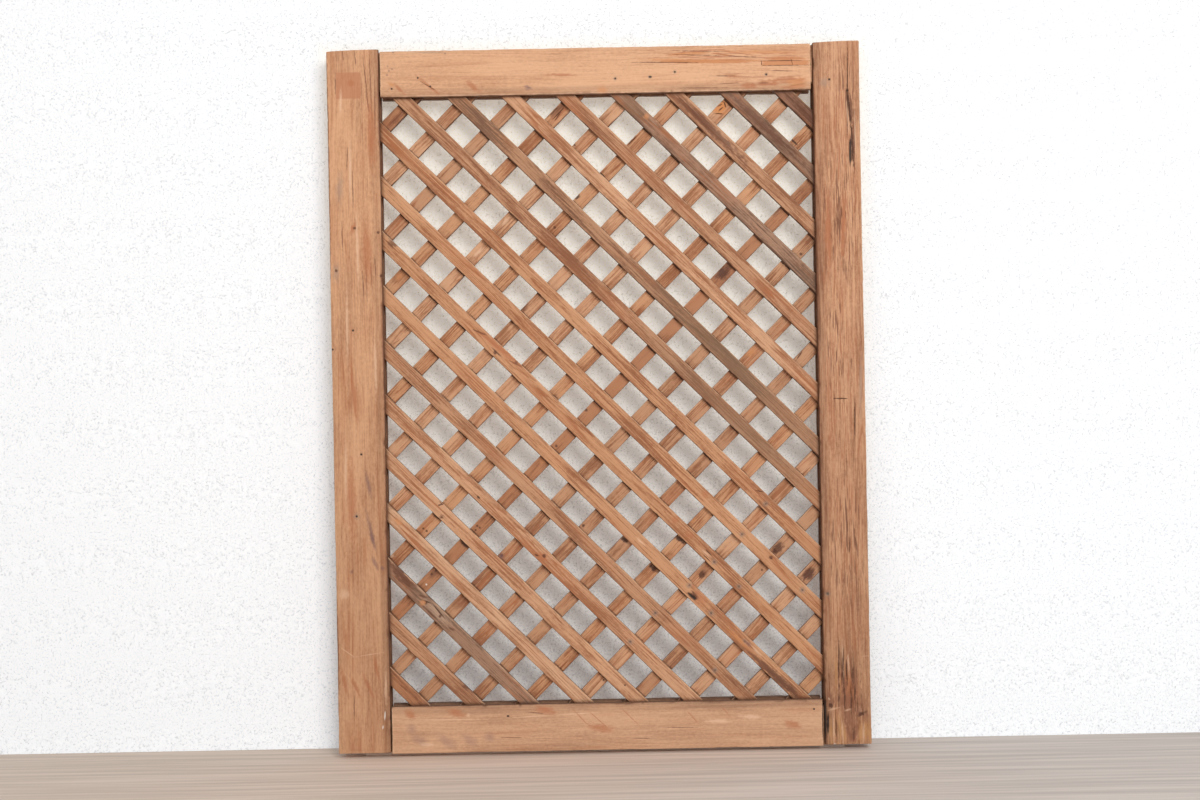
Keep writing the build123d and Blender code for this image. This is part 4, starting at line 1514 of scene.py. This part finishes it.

# %% [markdown]
# ### Top rail
# The palest board, partly through painted light from above. A foxy band runs along its right third to a thin
# strip of wood let into it, and reddish smudges lie along its lower edge.

# %% Top rail: stains and the foxy band
start = start_wood("Top rail wood", grain_right, 503, top_tone)
lay(start, "grey", 2.4, (-216.4, 841.7, -174.3, 840.9))
lay(start, "foxy", 4, (-210.9, 812.8, -183.7, 789.4), (-239, 806, -226, 790), (158, 806.5, 176, 806.0),
    (-60, 812, -20, 811))
lay(start, "foxy", 7, (-154.6, 808.1, -135.6, 792.1), (189.8, 793.3, 196, 794), (212.6, 795.3, 222, 797),
    (240, 798, 256, 801), (225, 790, 256, 794))
lay(start, "band", 5, (80, 825.2, 150, 824.6), (110, 825, 203, 823.4), (203, 826, 258, 826))
lay(start, "band", 1.8, (90, 832.5, 114, 835), (112, 835, 142, 834.6), (140, 834.6, 170, 830))
lay(start, "foxy", 8, (177, 795, 192, 794.5), (196, 797, 216, 798), (212, 800, 256, 800))
lay(start, "foxy", 2.6, (100, 835.5, 150, 838), (150, 838, 196, 830), (120, 830, 170, 829))
lay(start, "brown", 2.4, (198, 797, 211, 797.5), (236, 793, 256, 796))
lay(start, "orange", 5, (-247, 806, -238, 802), (60, 828, 128, 825.5), (100, 824, 201, 824.2),
    (150, 836, 258, 832), (87, 833, 140, 834))
lay(start, "orange", 13, (10.7, 791.0), (232, 797, 258, 798))
add_mark(start, (231.0, 820.8), (28.8, 3.2), (0.56, 0.225, 0.090), 0.85, soft=0.15, rough=0.3,
         square=1.0)
print("after the band:", len(start["tree"].nodes), "nodes")

# %% Top rail: cracks, scratches and nails
lay(start, "crack", 1.0, (45.1, 824.8, 129.1, 823.3), (202.6, 823.6, 258, 823.2),
    (202.6, 818.2, 258, 817.6), (202.4, 823.6, 202.6, 818.4), (-206, 806, -190, 796),
    (142, 806.8, 172, 806.2), (238, 825.5, 240, 818))
lay(start, "brown", 1.4, (87.3, 833.7, 150, 831.0), (150, 831.0, 201.3, 828), (95, 838, 160, 835.5),
    (100, 793, 160, 792.5), (150, 797, 178, 798), (215, 812, 240, 811))
lay(start, "purple", 2.6, (-246, 825.4), (-244.8, 820), (-247, 815), (-241, 822), (-239.2, 842.1),
    (-176.8, 839.8), (-80.3, 799.5, -74.4, 794.6))
lay(start, "purple", 6, (-83, 797, -74, 796.5))
lay(start, "foxy scratches", 26, (150, 803, 262, 803), (40, 833, 262, 833))
lay(start, "halo", 5, (26.7, 805.9), (68.2, 807.0), (98.3, 812.4), (208.0, 807.4))
lay(start, "nail", 2.6, (-210.3, 810.9), (-195.5, 800.5), (-241.8, 798.3), (26.7, 805.9),
    (66.5, 807.2, 71, 806.9), (98.3, 812.4), (208.0, 807.4))
lay(start, "black", 1.8, (261.6, 843, 262.2, 788), (-256.1, 842, -256.0, 790))
lay(start, "pale", 2.2, (-255, 789.2, -100, 789.0), (-120, 789.0, 60, 789.0), (40, 789.0, 260, 789.2))
close_wood(start, top_rail, 0.35)
print(top_rail.name, "has", len(start["tree"].nodes), "nodes")

# %% [markdown]
# ### Bottom rail
# It is as calm as the top rail and a little darker, which is painted shade near the floor, with scuffs and
# smudges low down on the left.

# %% Bottom rail material
start = start_wood("Bottom rail wood", grain_right, 504, shaded_bottom_tone)
lay(start, "pale", 1.4, (-220.6, 40.5, -140, 40.0), (-113, 41.0, -60, 43.5), (-60, 43.5, -6.1, 45.5))
lay(start, "pale", 5, (-164, 45), (-225, 12, -205, 10), (160, 38, 190, 36), (120, 33, 150, 32))
lay(start, "smudge", 12, (-202, 22, -178, 6), (-172, 22, -154, 8), (-232, 20, -214, 12),
    (-146, 20, -132, 16), (-236, 34, -228, 26))
lay(start, "foxy", 10, (-190, 52, -166, 44), (-84, 52, -58, 46), (-20, 30, 10, 24), (215, 30, 235, 24),
    (-240, 52, -228, 44))
lay(start, "brown", 1.2, (-130, 18, -100, 17), (-95, 48, -70, 45), (30, 14, 60, 13), (70, 26, 110, 25.5))
lay(start, "foxy", 1.4, (-40, 52, -20, 30), (-20, 48, 4, 26), (20, 50, 40, 30), (100, 44, 112, 30),
    (140, 50, 150, 38))
lay(start, "nail", 2.6, (-118, 43.6, -114.5, 42.8), (251.1, 44.9))
lay(start, "black", 1.8, (-256.1, 57, -256.0, 2), (261.4, 57, 261.4, 2))
close_wood(start, bottom_rail, 0.35)
print(bottom_rail.name, "has", len(start["tree"].nodes), "nodes")

# %% [markdown]
# ## Wedges and brads
# Both stay CAD nodes, because their shapes are right. The wedges show their end grain, and the
# cut brads have rusted, which noise shows as brown scale over dark iron.

# %% Wedge material
wedge_wood = start_wood("Wedge wood", grain_right, 505, {**foxy, "Level": 0.7, "Bend": 0.003})
close_wood(wedge_wood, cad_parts["tenon_wedges"])
print("wedges:", wedge_wood["material"].name)

# %% Brad material
scale_size = (900.0, 900.0, 900.0)
dark_iron = (0.045, 0.035, 0.032, 1)
brown_rust = (0.17, 0.065, 0.028, 1)
brad_material, tree, shader = new_material("Rusty iron")
here = put(tree, "TexCoord").outputs["Object"]
scale = noise(tree, stretched(tree, here, scale_size), 4.0, 0.65).outputs["Fac"]
rust = ramp(tree, scale, 0.4, 0.6)
tree.links.new(blend_colours(tree, rust, dark_iron, brown_rust), shader.inputs["Base Color"])
tree.links.new(ramp(tree, rust, 0, 1, 0.55, 0.9), shader.inputs["Roughness"])
flaked = put(tree, "Bump", {"Height": scale, "Strength": 0.4, "Distance": 0.3 * mm}).outputs[0]
tree.links.new(flaked, shader.inputs["Normal"])
shader.inputs["Metallic"].default_value = 0.3
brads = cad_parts["lattice_brads"]
brads.data.materials.clear()
brads.data.materials.append(brad_material)
print("brads:", brad_material.name)
